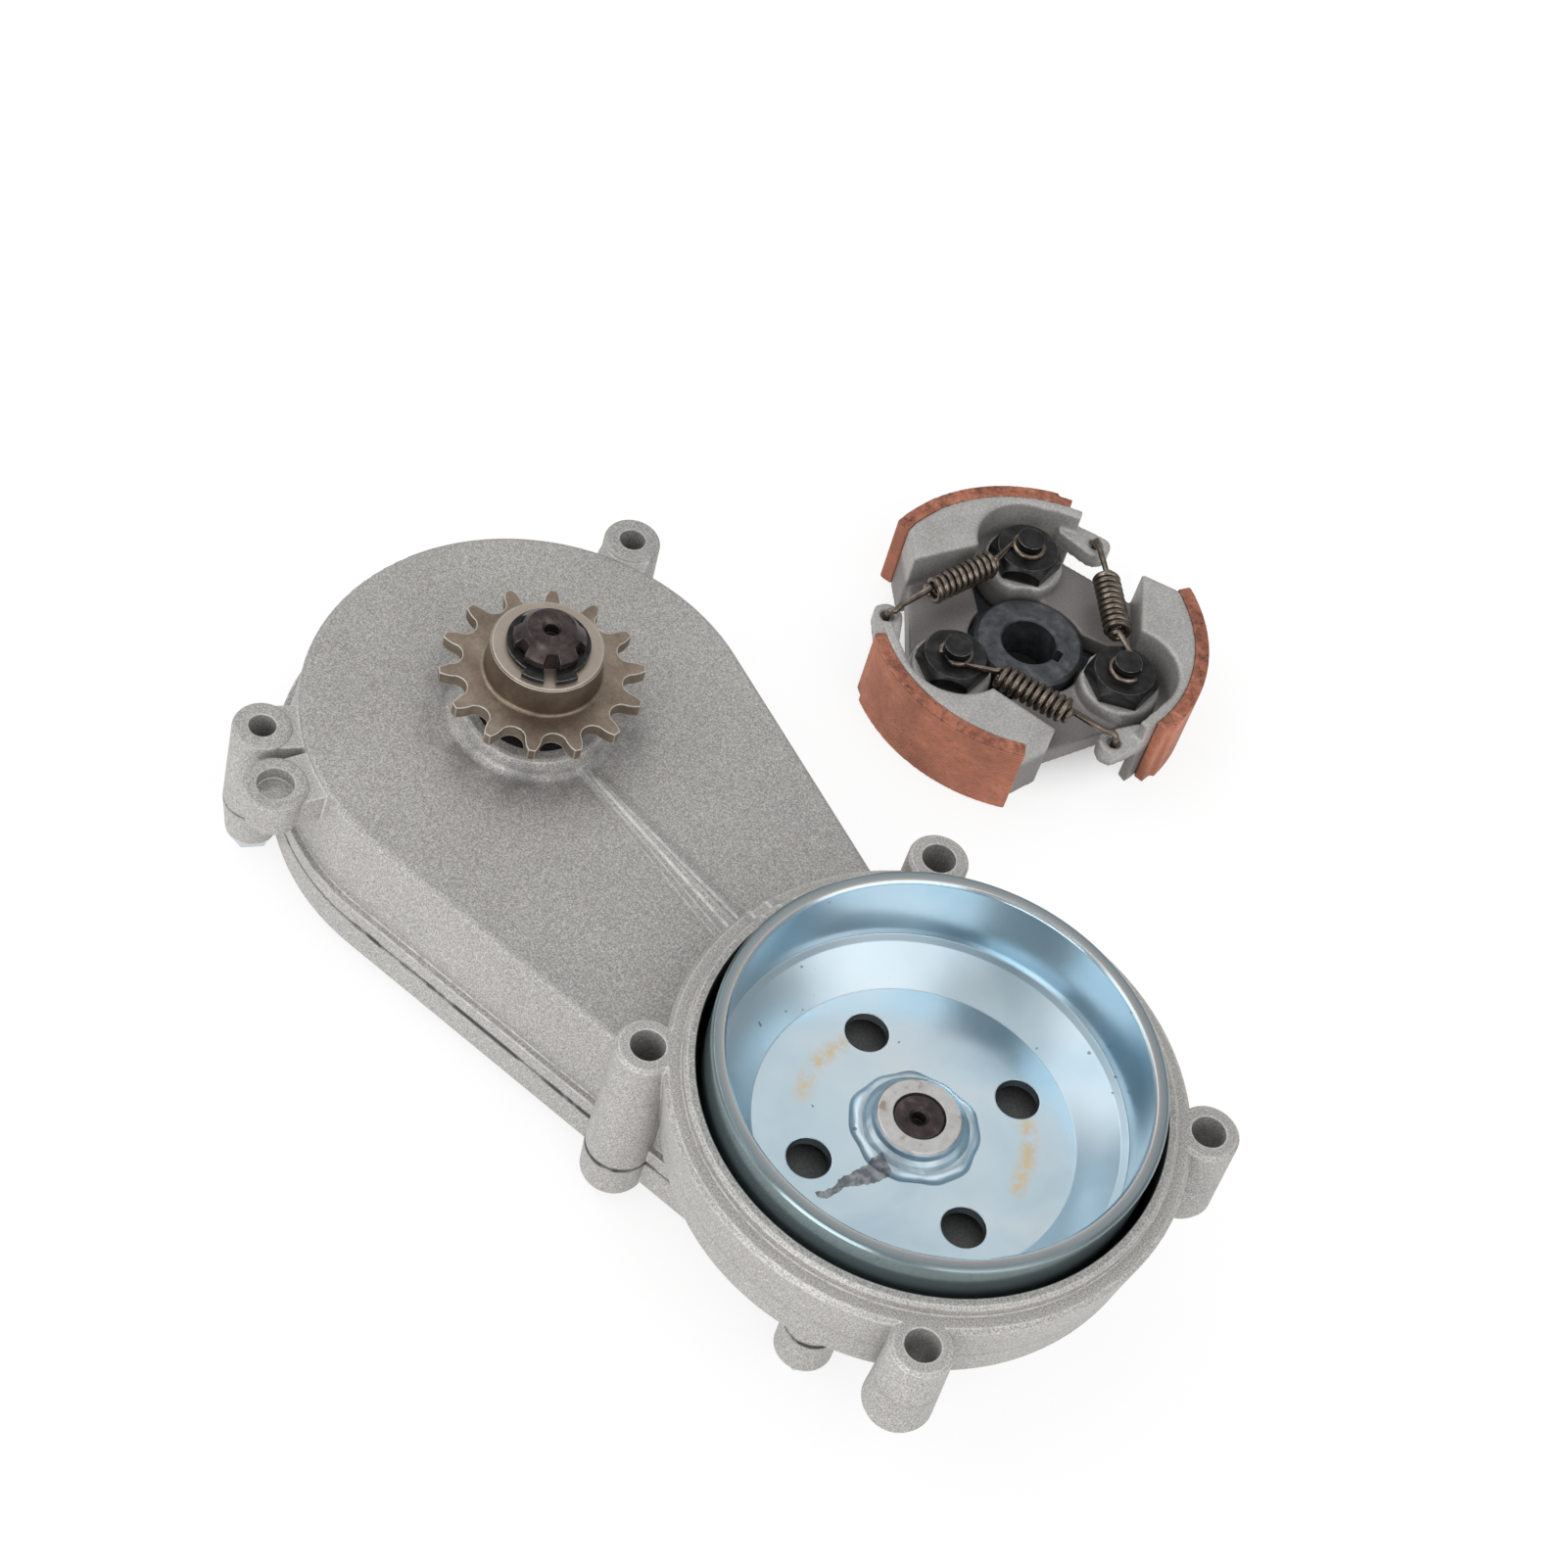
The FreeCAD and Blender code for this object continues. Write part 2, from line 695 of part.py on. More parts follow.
def drive_chain():
    pins = chain_points()
    shapes = []
    half = roller_width / 2
    for i, a in enumerate(pins):
        b = pins[(i + 1) % len(pins)]
        offset = half if i % 2 else half + link_plate_t
        plates = [link_plate(a, b, chain_z + offset), link_plate(a, b, chain_z - offset - link_plate_t)]
        if i % 2:
            rollers = [cyl(roller_r, chain_z - half, chain_z + half, p.x, p.y) for p in (a, b)]
            shapes.append(rollers[0].multiFuse(plates + [rollers[1]]))
        else:
            shapes += plates
    return group(shapes)


def clutch_drum():
    low = drum_floor_z - drum_sheet
    knee = drum_inner_r - 0.06
    solid = turned([
        (drum_hub_low_r, low),
        (drum_floor_r + 1.5, low),
        (drum_outer_r - 2.6, drum_step_z - 3.6, "arc"),
        (drum_outer_r, drum_step_z - 0.6),
        (drum_outer_r, drum_rim_z - 0.5),
        (drum_outer_r - 0.5, drum_rim_z),
        (drum_inner_r + 0.5, drum_rim_z),
        (drum_inner_r, drum_rim_z - 0.5),
        (knee, drum_step_z),
        (knee - 1.5, drum_step_z - 0.4),
        (drum_floor_r + 3.0, drum_floor_z + 2.6, "arc"),
        (drum_floor_r, drum_floor_z),
        (drum_hub_low_r, drum_floor_z),
    ])
    for i in range(4):
        p = polar(drum_hole_circle, drum_hole_angle + 90 * i)
        solid = solid.cut(cyl(drum_hole_r, low - 1, drum_floor_z + 1, p.x, p.y))
    return solid


def drum_hub():
    low = drum_floor_z - drum_sheet
    return turned([
        (input_shaft_r, input_bearing_top),
        (drum_spigot_r - 0.4, input_bearing_top),
        (drum_spigot_r, low - 0.2),
        (drum_hub_low_r, drum_floor_z),
        (weld_r, drum_floor_z),
        (weld_r - 0.9, drum_floor_z + 0.8),
        (drum_hub_r + 0.9, drum_floor_z + weld_h),
        (drum_hub_r, drum_floor_z + weld_h + 0.7),
        (drum_hub_r - 0.2, drum_hub_top - 0.6),
        (drum_hub_r - 0.8, drum_hub_top),
        (input_shaft_r, drum_hub_top),
    ])


def centre_drill(x, top):
    hole = cyl(centre_drill_r, top - centre_drill_depth, top + 1, x)
    return hole.fuse(cone(centre_drill_r, centre_drill_r + 0.6, top - 0.6, top, x))


def input_shaft():
    low = tail_bearing_top - bearing_input[2]
    top = drum_hub_top - 0.3
    shaft = turned([
        (0, low), (input_shaft_r - 0.6, low), (input_shaft_r, low + 0.6), (input_shaft_r, top - 0.5),
        (input_shaft_r - 0.5, top), (0, top),
    ])
    return shaft.cut(centre_drill(0, top))


def splined_bar(root_r, tip_r, z0, z1):
    """Shaft with straight splines; each groove is cut between two teeth."""
    bar = cyl(tip_r, z0, z1)
    step = 360.0 / spline_count
    for i in range(spline_count):
        a = spline_angle + i * step
        groove = polygon_prism([
            polar(root_r, a - 11), polar(root_r, a + 11), polar(tip_r + 3, a + 17), polar(tip_r + 3, a - 17),
        ], z0 - 1, z1 + 1)
        bar = bar.cut(groove)
    return bar


def output_shaft():
    low = tail_bearing_top - bearing_tail[2]
    spline = splined_bar(spline_root_r, spline_r, spline_low_z, output_top_z)
    trim = turned([
        (0, spline_low_z), (spline_r + 1, spline_low_z), (spline_r + 1, output_top_z - output_chamfer_h - 1),
        (spline_r, output_top_z - output_chamfer_h), (output_end_r, output_top_z), (0, output_top_z),
    ])
    spline = spline.common(trim)
    groove_low = front_hub_top
    spline = spline.cut(ring(spline_r + 1, spline_root_r + 0.4, groove_low, groove_low + circlip_t + 0.1))
    body = turned([
        (0, low), (output_tail_r - 0.6, low), (output_tail_r, low + 0.6), (output_tail_r, tail_bearing_top),
        (output_shaft_r, tail_bearing_top), (output_shaft_r, spline_low_z - 0.3),
        (output_shaft_r - 0.3, spline_low_z), (0, spline_low_z),
    ])
    solid = body.fuse(spline)
    solid.translate(S)
    return solid.cut(centre_drill(S.x, output_top_z))


def front_sprocket():
    disc = toothed_disc(front_teeth, front_pitch, front_roller_r, front_tip_r,
                        front_face_z - front_t, front_face_z, front_tooth_angle)
    hub = turned([
        (0, spline_low_z), (front_hub_r - 1.0, spline_low_z), (front_hub_r - 0.2, spline_low_z + 0.8),
        (front_hub_r - 0.2, front_face_z), (front_hub_foot_r + 0.8, front_face_z),
        (front_hub_foot_r + 0.23, front_face_z + 0.23, "arc"), (front_hub_foot_r, front_face_z + 0.8),
        (front_hub_r, front_hub_top - 0.4), (front_hub_r - 0.4, front_hub_top), (0, front_hub_top),
    ])
    solid = disc.fuse(hub)
    bore = splined_bar(spline_root_r + running_gap, spline_r + running_gap, spline_low_z - 1, front_hub_top + 1)
    solid = solid.cut(bore)
    solid.translate(S)
    return solid


def sprocket_circlip():
    inner = spline_root_r + 0.45
    low = front_hub_top
    top = low + circlip_t
    clip = ring(circlip_r, inner, low, top)
    lugs = []
    for side in (-1, 1):
        ends = sorted((circlip_gap_angle, circlip_gap_angle + side * circlip_lug_spread))
        lugs.append(sector(inner, circlip_lug_r, ends[0], ends[1], low, top))
    clip = clip.multiFuse(lugs)
    gap = Part.makeBox(2 * circlip_r, circlip_gap, 4 * circlip_t, V(0, -circlip_gap / 2, low - circlip_t))
    gap.rotate(V(0, 0, 0), Z, circlip_gap_angle)
    clip = clip.cut(gap).cut(cyl(inner, low - 1, top + 1))
    clip.translate(S)
    return clip


def to_clutch(shape, index):
    """Turn a piece drawn at the first bolt to its own bolt and put it at the clutch centre."""
    placed = shape.copy()
    placed.rotate(V(0, 0, 0), Z, clutch_angle + 120 * index)
    placed.translate(V(clutch_x, clutch_y, 0))
    return placed


bolt_0 = V(bolt_circle, 0, 0)
pivot_0 = polar(bolt_circle, 120)
shoe_top_z = floor_z + shoe_height
shoe_r = clutch_r - lining_t
hook_ear = polar(hook_ear_r, hook_ear_angle)


def sector(inner, outer, a0, a1, z0, z1):
    mid = (a0 + a1) / 2
    edges = [
        Part.Arc(polar(outer, a0), polar(outer, mid), polar(outer, a1)).toShape(),
        Part.LineSegment(polar(outer, a1), polar(inner, a1)).toShape(),
        Part.Arc(polar(inner, a1), polar(inner, mid), polar(inner, a0)).toShape(),
        Part.LineSegment(polar(inner, a0), polar(outer, a0)).toShape(),
    ]
    face = Part.Face(Part.Wire(edges))
    face.translate(V(0, 0, z0))
    return face.extrude(V(0, 0, z1 - z0))


def shoe_crescent():
    """Full-height body: outer arc, heel, pocket round the bolt and a thin wall to the hook ear."""
    heel = polar(heel_r, heel_angle)
    outer_end = polar(shoe_r, lining_end)
    wall_corner = polar(wall_inner_r, wall_end_angle)
    inner_corner = bolt_0 + V(-1.0, pocket_r - 1.5, 0)
    edges = [
        Part.Arc(polar(shoe_r, wall_end_angle), polar(shoe_r, 10), outer_end).toShape(),
        Part.LineSegment(outer_end, heel).toShape(),
        Part.LineSegment(heel, inner_corner).toShape(),
        Part.LineSegment(inner_corner, polar(wall_inner_r - 6, 0)).toShape(),
        Part.LineSegment(polar(wall_inner_r - 6, 0), polar(wall_inner_r, -6)).toShape(),
        Part.Arc(polar(wall_inner_r, -6), polar(wall_inner_r, -15), wall_corner).toShape(),
        Part.LineSegment(wall_corner, polar(shoe_r, wall_end_angle)).toShape(),
    ]
    face = Part.Face(Part.Wire(edges))
    face.translate(V(0, 0, floor_z))
    body = face.extrude(V(0, 0, shoe_height))
    body = body.cut(cyl(pocket_r, floor_z - 1, shoe_top_z + 1, bolt_0.x, bolt_0.y))
    rim = [e for e in body.Edges if e.BoundBox.ZMin > shoe_top_z - 0.01 and e.Length > 2 * pocket_r / 3]
    inner_rim = [e for e in rim if e.Curve.TypeId == "Part::GeomLine" or abs(e.Curve.Radius - pocket_r) < 0.01]
    return body.makeFillet(shoe_edge_r, inner_rim)


def shoe_arm():
    """Low arm from the heel to the eye on the next bolt, clear of the hub."""
    eye = boss(pivot_0, eye_r + 0.4, eye_r, arm_low_z, eye_top_z, eye_round)
    heel = polar(heel_r - 1.0, heel_angle + 1)
    along = (heel - pivot_0).normalize()
    outward = V(-along.y, along.x, 0)
    bar = polygon_prism([
        pivot_0 + outward * eye_r, heel, polar(shoe_r - 6, lining_end - 4), bolt_0 + V(-1.4, pocket_r + 0.2, 0),
        polar(arm_inner_r - 2, 62), polar(arm_inner_r - 2, 105), pivot_0,
    ], arm_low_z, arm_top_z)
    arm = eye.fuse(bar)
    arm = arm.cut(cyl(arm_inner_r, arm_low_z - 1, eye_top_z + 1))
    return arm.cut(cyl(pocket_r, arm_low_z - 1, eye_top_z + 1, bolt_0.x, bolt_0.y))


def shoe_casting():
    ear_low = hook_ear_top_z - hook_ear_t
    root = polar(shoe_r - 2.2, wall_end_angle + 3)
    ear = belt_prism(root, 2.2, hook_ear, hook_ear_pad_r, ear_low, hook_ear_top_z)
    ear = ear.cut(sector(shoe_r, shoe_r + 8, -60, 10, ear_low - 1, hook_ear_top_z + 1))
    solid = shoe_crescent().multiFuse([shoe_arm(), ear])
    solid = solid.cut(cyl(hook_hole_r, ear_low - 1, hook_ear_top_z + 1, hook_ear.x, hook_ear.y))
    solid = solid.cut(cyl(eye_bore_r, arm_low_z - 1, eye_top_z + 1, pivot_0.x, pivot_0.y))
    return solid.removeSplitter()


def shoe_lining():
    pad = sector(shoe_r, clutch_r, lining_start, lining_end, floor_z, shoe_top_z)
    step = sector(clutch_r - lining_step, clutch_r + 2, lining_start - 1, lining_start + lining_step_angle,
                  floor_z - 1, shoe_top_z + 1)
    return pad.cut(step)


plate_top_z = arm_low_z - part_gap
plate_low_z = plate_top_z - hub_plate_t


def clutch_hub():
    body = turned([
        (hub_bore_r, floor_z), (hub_r - 0.6, floor_z), (hub_r, floor_z + 0.6), (hub_r, hub_top_z - 0.8),
        (hub_r - 0.8, hub_top_z), (hub_bore_r + 0.5, hub_top_z), (hub_bore_r, hub_top_z - 0.5),
    ])
    corners = [cyl(hub_plate_corner_r, plate_low_z, plate_top_z, *polar(bolt_circle, 120 * i)[:2])
               for i in range(3)]
    edge_points = []
    for i in range(3):
        a = 120 * i
        p = polar(bolt_circle, a)
        edge_points.append(p + polar(hub_plate_corner_r, a - 60))
        edge_points.append(p + polar(hub_plate_corner_r, a + 60))
    plate = polygon_prism(edge_points, plate_low_z, plate_top_z)
    body = body.multiFuse(corners + [plate])
    body = body.cut(cyl(hub_bore_r, floor_z - 1, hub_top_z + 1))
    key_corner = V(0, -hub_key_width / 2, floor_z - 1)
    key = Part.makeBox(hub_bore_r + hub_key_depth, hub_key_width, shoe_height, key_corner)
    body = body.cut(key)
    for i in range(3):
        p = polar(bolt_circle, 120 * i)
        body = body.cut(cyl(pivot_r - 1 + seat_gap, plate_low_z - 1, plate_top_z + 1, p.x, p.y))
    return body.removeSplitter()


def pivot_bolt():
    head_low = eye_top_z + running_gap * 2
    head_top = head_low + head_h
    x = bolt_0.x
    head = hexagon(head_af, head_low, head_top, x, 0, 18)
    bevel = cone(head_disc_r + 3.2, head_disc_r, head_low, head_top, x)
    parts = [
        cyl(pivot_r - 1, plate_low_z - 0.8, plate_top_z + 1, x),
        cyl(pivot_r, plate_top_z, head_low + 1, x),
        cyl(post_r, head_top - 1, post_top_z, x),
        cyl(post_head_r, post_top_z - post_head_t, post_top_z, x),
    ]
    return head.common(bevel).multiFuse(parts)


def tube(edge, start, direction):
    """Wire along an edge, with an eight-sided section that keeps the coil light."""
    across = direction.cross(Z).normalize()
    lift = direction.cross(across).normalize()
    corners = []
    for i in range(9):
        corner = polar(wire_r, 45 * i)
        corners.append(start + across * corner.x + lift * corner.y)
    return Part.Wire([edge]).makePipeShell([Part.makePolygon(corners)], True, True)


def rod(a, b):
    return Part.makeCylinder(wire_r, a.distanceToPoint(b), a, b - a)


def spring():
    """Extension spring: loop round the bolt's post, close coil, and a hook through the next shoe's ear."""
    next_ear = polar(hook_ear_r, hook_ear_angle + 120)
    start = V(bolt_0.x, 0, spring_post_z)
    end = V(next_ear.x, next_ear.y, hook_ear_top_z + 1.6)
    along = (end - start).normalize()
    reach = start.distanceToPoint(end)
    coil_length = reach * (coil_end - coil_start)
    helix = Part.makeHelix(coil_length / coil_turns, coil_length, coil_r)
    pitch_angle = math.atan2(coil_length / coil_turns, 2 * math.pi * coil_r)
    coil = tube(helix, V(coil_r, 0, 0), V(0, math.cos(pitch_angle), math.sin(pitch_angle)))
    turn = FreeCAD.Rotation(Z, along)
    base = start + along * (reach * coil_start)
    coil.Placement = FreeCAD.Placement(base, turn)
    entry = base + turn.multVec(V(coil_r, 0, 0))
    leave = base + turn.multVec(V(coil_r, 0, coil_length))

    loop_r = post_r + wire_r + 0.15
    section = [polar(wire_r, 45 * i) for i in range(8)]
    loop = turned([(loop_r + q.x, start.z + q.y) for q in section], start.x, start.y)
    hook_top = end
    hook_low = V(end.x, end.y, hook_ear_top_z - hook_ear_t - 0.5)
    bends = [Part.makeSphere(wire_r + bend_swell, p) for p in (entry, leave, hook_top)]
    side = V(-along.y, along.x, 0).normalize()
    loop_join = start + side * loop_r * -1 if entry.sub(start).dot(side) < 0 else start + side * loop_r
    pieces = [loop, rod(entry, loop_join), rod(leave, hook_top), rod(hook_top, hook_low)]
    return coil.multiFuse(pieces + bends)


os.makedirs("parts", exist_ok=True)

save("front_case", front_case())
save("rear_cover", rear_cover())
save("case_gasket", case_gasket())
save("cover_screws", group([cover_screw(p) for p in screw_points]))
save("dowel_sleeves", dowels())
save("output_oil_seal", oil_seal())
bearings = {
    "input_front_bearing": (bearing_input, input_bearing_top, 0),
    "input_rear_bearing": (bearing_input, tail_bearing_top, 0),
    "output_front_bearing": (bearing_output, output_bearing_top, S.x),
    "output_rear_bearing": (bearing_tail, tail_bearing_top, S.x),
}
for name, (bearing, top, x) in bearings.items():
    outer, inner = bearing_rings(bearing, top, x)
    save(name + "_outer", outer)
    save(name + "_inner", inner)
save("drive_chain", drive_chain())
save("clutch_drum", clutch_drum())
save("drum_hub", drum_hub())
save("input_shaft", input_shaft())
save("drive_sprocket", drive_sprocket())
save("output_shaft", output_shaft())
save("driven_sprocket", driven_sprocket())
save("front_sprocket", front_sprocket())
save("sprocket_circlip", sprocket_circlip())
save("clutch_hub", to_clutch(clutch_hub(), 0))
save("pivot_bolts", group([to_clutch(pivot_bolt(), i) for i in range(3)]))
casting = shoe_casting()
lining = shoe_lining()
coil_spring = spring()
for i in range(3):
    number = str(i + 1)
    save("clutch_shoe_" + number, to_clutch(casting, i))
    save("shoe_lining_" + number, to_clutch(lining, i))
    save("shoe_spring_" + number, to_clutch(coil_spring, i))
print("centre distance", round(centre_distance, 3))
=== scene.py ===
import bpy
import math
from mathutils import Matrix, Vector


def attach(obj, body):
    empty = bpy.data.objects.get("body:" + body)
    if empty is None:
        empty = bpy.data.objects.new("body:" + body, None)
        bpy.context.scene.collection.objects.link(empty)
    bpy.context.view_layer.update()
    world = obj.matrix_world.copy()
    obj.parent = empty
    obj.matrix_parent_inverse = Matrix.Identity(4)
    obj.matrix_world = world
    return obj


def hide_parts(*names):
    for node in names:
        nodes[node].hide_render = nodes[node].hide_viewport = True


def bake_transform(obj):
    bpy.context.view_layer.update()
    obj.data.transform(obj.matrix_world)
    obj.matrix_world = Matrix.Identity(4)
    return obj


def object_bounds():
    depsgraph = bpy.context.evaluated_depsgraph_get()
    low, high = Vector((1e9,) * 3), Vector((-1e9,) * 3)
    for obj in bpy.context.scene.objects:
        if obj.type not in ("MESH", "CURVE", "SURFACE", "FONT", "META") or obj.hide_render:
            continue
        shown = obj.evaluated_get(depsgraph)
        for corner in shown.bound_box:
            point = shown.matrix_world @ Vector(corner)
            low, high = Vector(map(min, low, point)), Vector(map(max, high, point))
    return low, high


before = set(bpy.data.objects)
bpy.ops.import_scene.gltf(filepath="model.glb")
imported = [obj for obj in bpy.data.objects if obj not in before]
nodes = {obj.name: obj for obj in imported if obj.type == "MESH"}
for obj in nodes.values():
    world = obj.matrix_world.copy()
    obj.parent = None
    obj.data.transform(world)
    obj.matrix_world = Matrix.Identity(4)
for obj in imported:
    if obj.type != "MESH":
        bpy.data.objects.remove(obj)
cad_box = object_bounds()
floor_height = cad_box[0][2]

MM = 0.001

# Places and sizes in millimetres, in the row frame, as the solids have them
OUTPUT_X = -111.663
CLUTCH_FROM_OUTPUT = 31.1
CLUTCH_X = OUTPUT_X + CLUTCH_FROM_OUTPUT
CLUTCH_Y = 116.6
CLUTCH_ANGLE = 20.5
BOLT_CIRCLE = 21.3
SHOE_TOP = -26.4
ARM_TOP = -35.5
DRUM_INNER_R = 39.0
DRUM_OUTER_R = 41.84
DRUM_RIM_Z = 9.0
DRUM_STEP_Z = -7.4
DRUM_FLOOR_R = 30.4
DRUM_HUB_TOP = -9.3
BOWL_R = 43.46
PLATE_Z = -11.0
SPROCKET_TOP = 10.2
SPROCKET_HUB_R = 11.4

# Springs: the post and the hook's ear as the solids have them, then the wire.
# HOOK_BENDS are steps inward and up from the hook's place.
POST_R = 2.3
POST_Z = -27.4
HOOK_EAR_R = 31.8
HOOK_EAR_ANGLE = -31.5
HOOK_EAR_TOP = -31.0
HOOK_EAR_T = 4.2
HOOK_RISE = 1.3
HOOK_BENDS = (
    (1.3, 0.35), (0.5, 0.30), (0.0, -0.15), (0.0, -HOOK_EAR_T / 2 - 1.0), (0.0, -HOOK_EAR_T - 1.6),
    (0.9, -HOOK_EAR_T - 2.2),
)
ARM_END_BACK = 3.2
ARM_END_LIFT = 0.25
WIRE_R = 0.68
ARM_SWELL = 1.08
LOOP_POINTS = 31
LOOP_FROM = 215.0
LOOP_TURN = 10.2
LOOP_DROP = 0.012
LOOP_CLEARANCE = 0.15
COIL_R = 2.35
COIL_TURNS = 11
COIL_STEPS = 26
COIL_START = 0.25
COIL_END = 0.715
COIL_NARROWEST = 0.35
COIL_WIDENING = 14.0
COIL_LAST_SHARE = 0.15
SWELL_OVERLAP = 20

# Weld bead round the drum hub. Its waves are height, count round the bead and offset
WELD_R = 10.2
WELD_HALF = 2.0
WELD_Z = -14.1
WELD_RISE = 1.75
WELD_WAVES = ((0.34, 2, 0.6), (0.26, 5, 2.0), (0.18, 11, 0.0))
WELD_SIDE_SHARE = 0.5
WELD_TOP_SHARE = 0.25
WELD_AROUND = 96
WELD_ACROSS = 14

# Where a finish, a painted shade or a painted highlight changes, a little off the surface that it belongs to
BOWL_SHADE_R = BOWL_R + 0.15
BOWL_SHADE_Z = -19.0
PLATE_SLACK = 0.6
DRUM_OUTSIDE_R = DRUM_OUTER_R - 1.0
DRUM_RIM_FACE_Z = DRUM_RIM_Z - 0.2
DRUM_HUB_FACE_Z = DRUM_HUB_TOP - 0.35
SPROCKET_FACE_Z = SPROCKET_TOP - 0.1
SPROCKET_HUB_Z = SPROCKET_TOP - 0.5
LINING_FACE_Z = SHOE_TOP - 0.45
LOW_DARK_FADE = 2.5

# Marks painted on the casting and the drum, among them painted highlights and painted shade along the rib
SEAM_Z = -33.25
SEAM_HALF = 0.75
DARK_RING_R = 17.0
RIB_FROM = -93.0
RIB_TO = -44.4
RIB_HALF = 0.5
RIB_SPREAD = 1.6
RIDGE_HALF = 0.34
FLANK_OUT = 1.5
STAIN_R = 21.5
STAIN_ANGLES = (196.0, 38.0)
SMEAR_FROM = (3.2, -10.0)
SMEAR_TO = (0.0, -24.5)
SMEAR_HALF = 1.9
SMEAR_TAPER = 0.7

# Rounding of the shoes and linings: distance at which points are joined, grid size and smoothing passes
JOIN_DISTANCE = 0.002
SHOE_GRID = 0.4
SHOE_PASSES = 5
LINING_GRID = 0.35
LINING_PASSES = 2

# Floor: its half width, its gap below the part, and two fades round the clutch's centre, from and to: a
# painted shadow under the bore, then the floor's glow
FLOOR_HALF = 3000.0
FLOOR_GAP = 0.2
BORE_SHADOW_FADE = (9.0, 13.0)
BORE_SHADOW_GREY = 0.03
FLOOR_GREY = 0.92
GLOW_FADE = (12.0, 34.0)
GLOW_SHARE = 0.80
GLOW_STRENGTH = 1.02

# Strength of the world's white for lighting, for metal's reflections and for the camera
WORLD_LIGHT = 0.66
WORLD_IN_METAL = 0.42
WORLD_SEEN = 1.0

# Lamps: name, place in metres, width in metres, power
LAMPS = (
    ("right_box", (0.74, -0.04, 0.86), 1.2, 5.4),
    ("left_box", (-0.66, -0.46, 0.86), 1.0, 3.8),
    ("back_box", (-0.44, 0.60, 0.92), 0.6, 0.62),
    ("far_box", (-0.82, 0.18, 0.92), 0.45, 1.0),
    ("front_box", (0.18, -1.10, 0.28), 0.8, 6.6),
)
LAMP_AIM = (-0.05, 0.03, -0.02)

# Camera, solved from round edges in the photo
CAMERA_PLACE = Vector((155.84, -306.44, 495.46))
CAMERA_AZIMUTH = -56.005
CAMERA_ELEVATION = 51.260
CAMERA_ROLL = 17.996
CAMERA_LENS = 76.70


def make_camera():
    az = math.radians(CAMERA_AZIMUTH)
    el = math.radians(CAMERA_ELEVATION)
    roll = math.radians(CAMERA_ROLL)
    ahead = -Vector((math.cos(el) * math.cos(az), math.cos(el) * math.sin(az), math.sin(el)))
    right = ahead.cross(Vector((0, 0, 1))).normalized()
    up = right.cross(ahead)
    right_rolled = right * math.cos(roll) + up * math.sin(roll)
    up_rolled = up * math.cos(roll) - right * math.sin(roll)
    data = bpy.data.cameras.new("camera")
    data.lens = CAMERA_LENS
    data.sensor_width = 36.0
    data.clip_start = 0.01
    camera = bpy.data.objects.new("camera", data)
    bpy.context.scene.collection.objects.link(camera)
    turn = Matrix((right_rolled, up_rolled, -ahead)).transposed()
    camera.matrix_world = Matrix.Translation(CAMERA_PLACE * MM) @ turn.to_4x4()
    bpy.context.scene.camera = camera


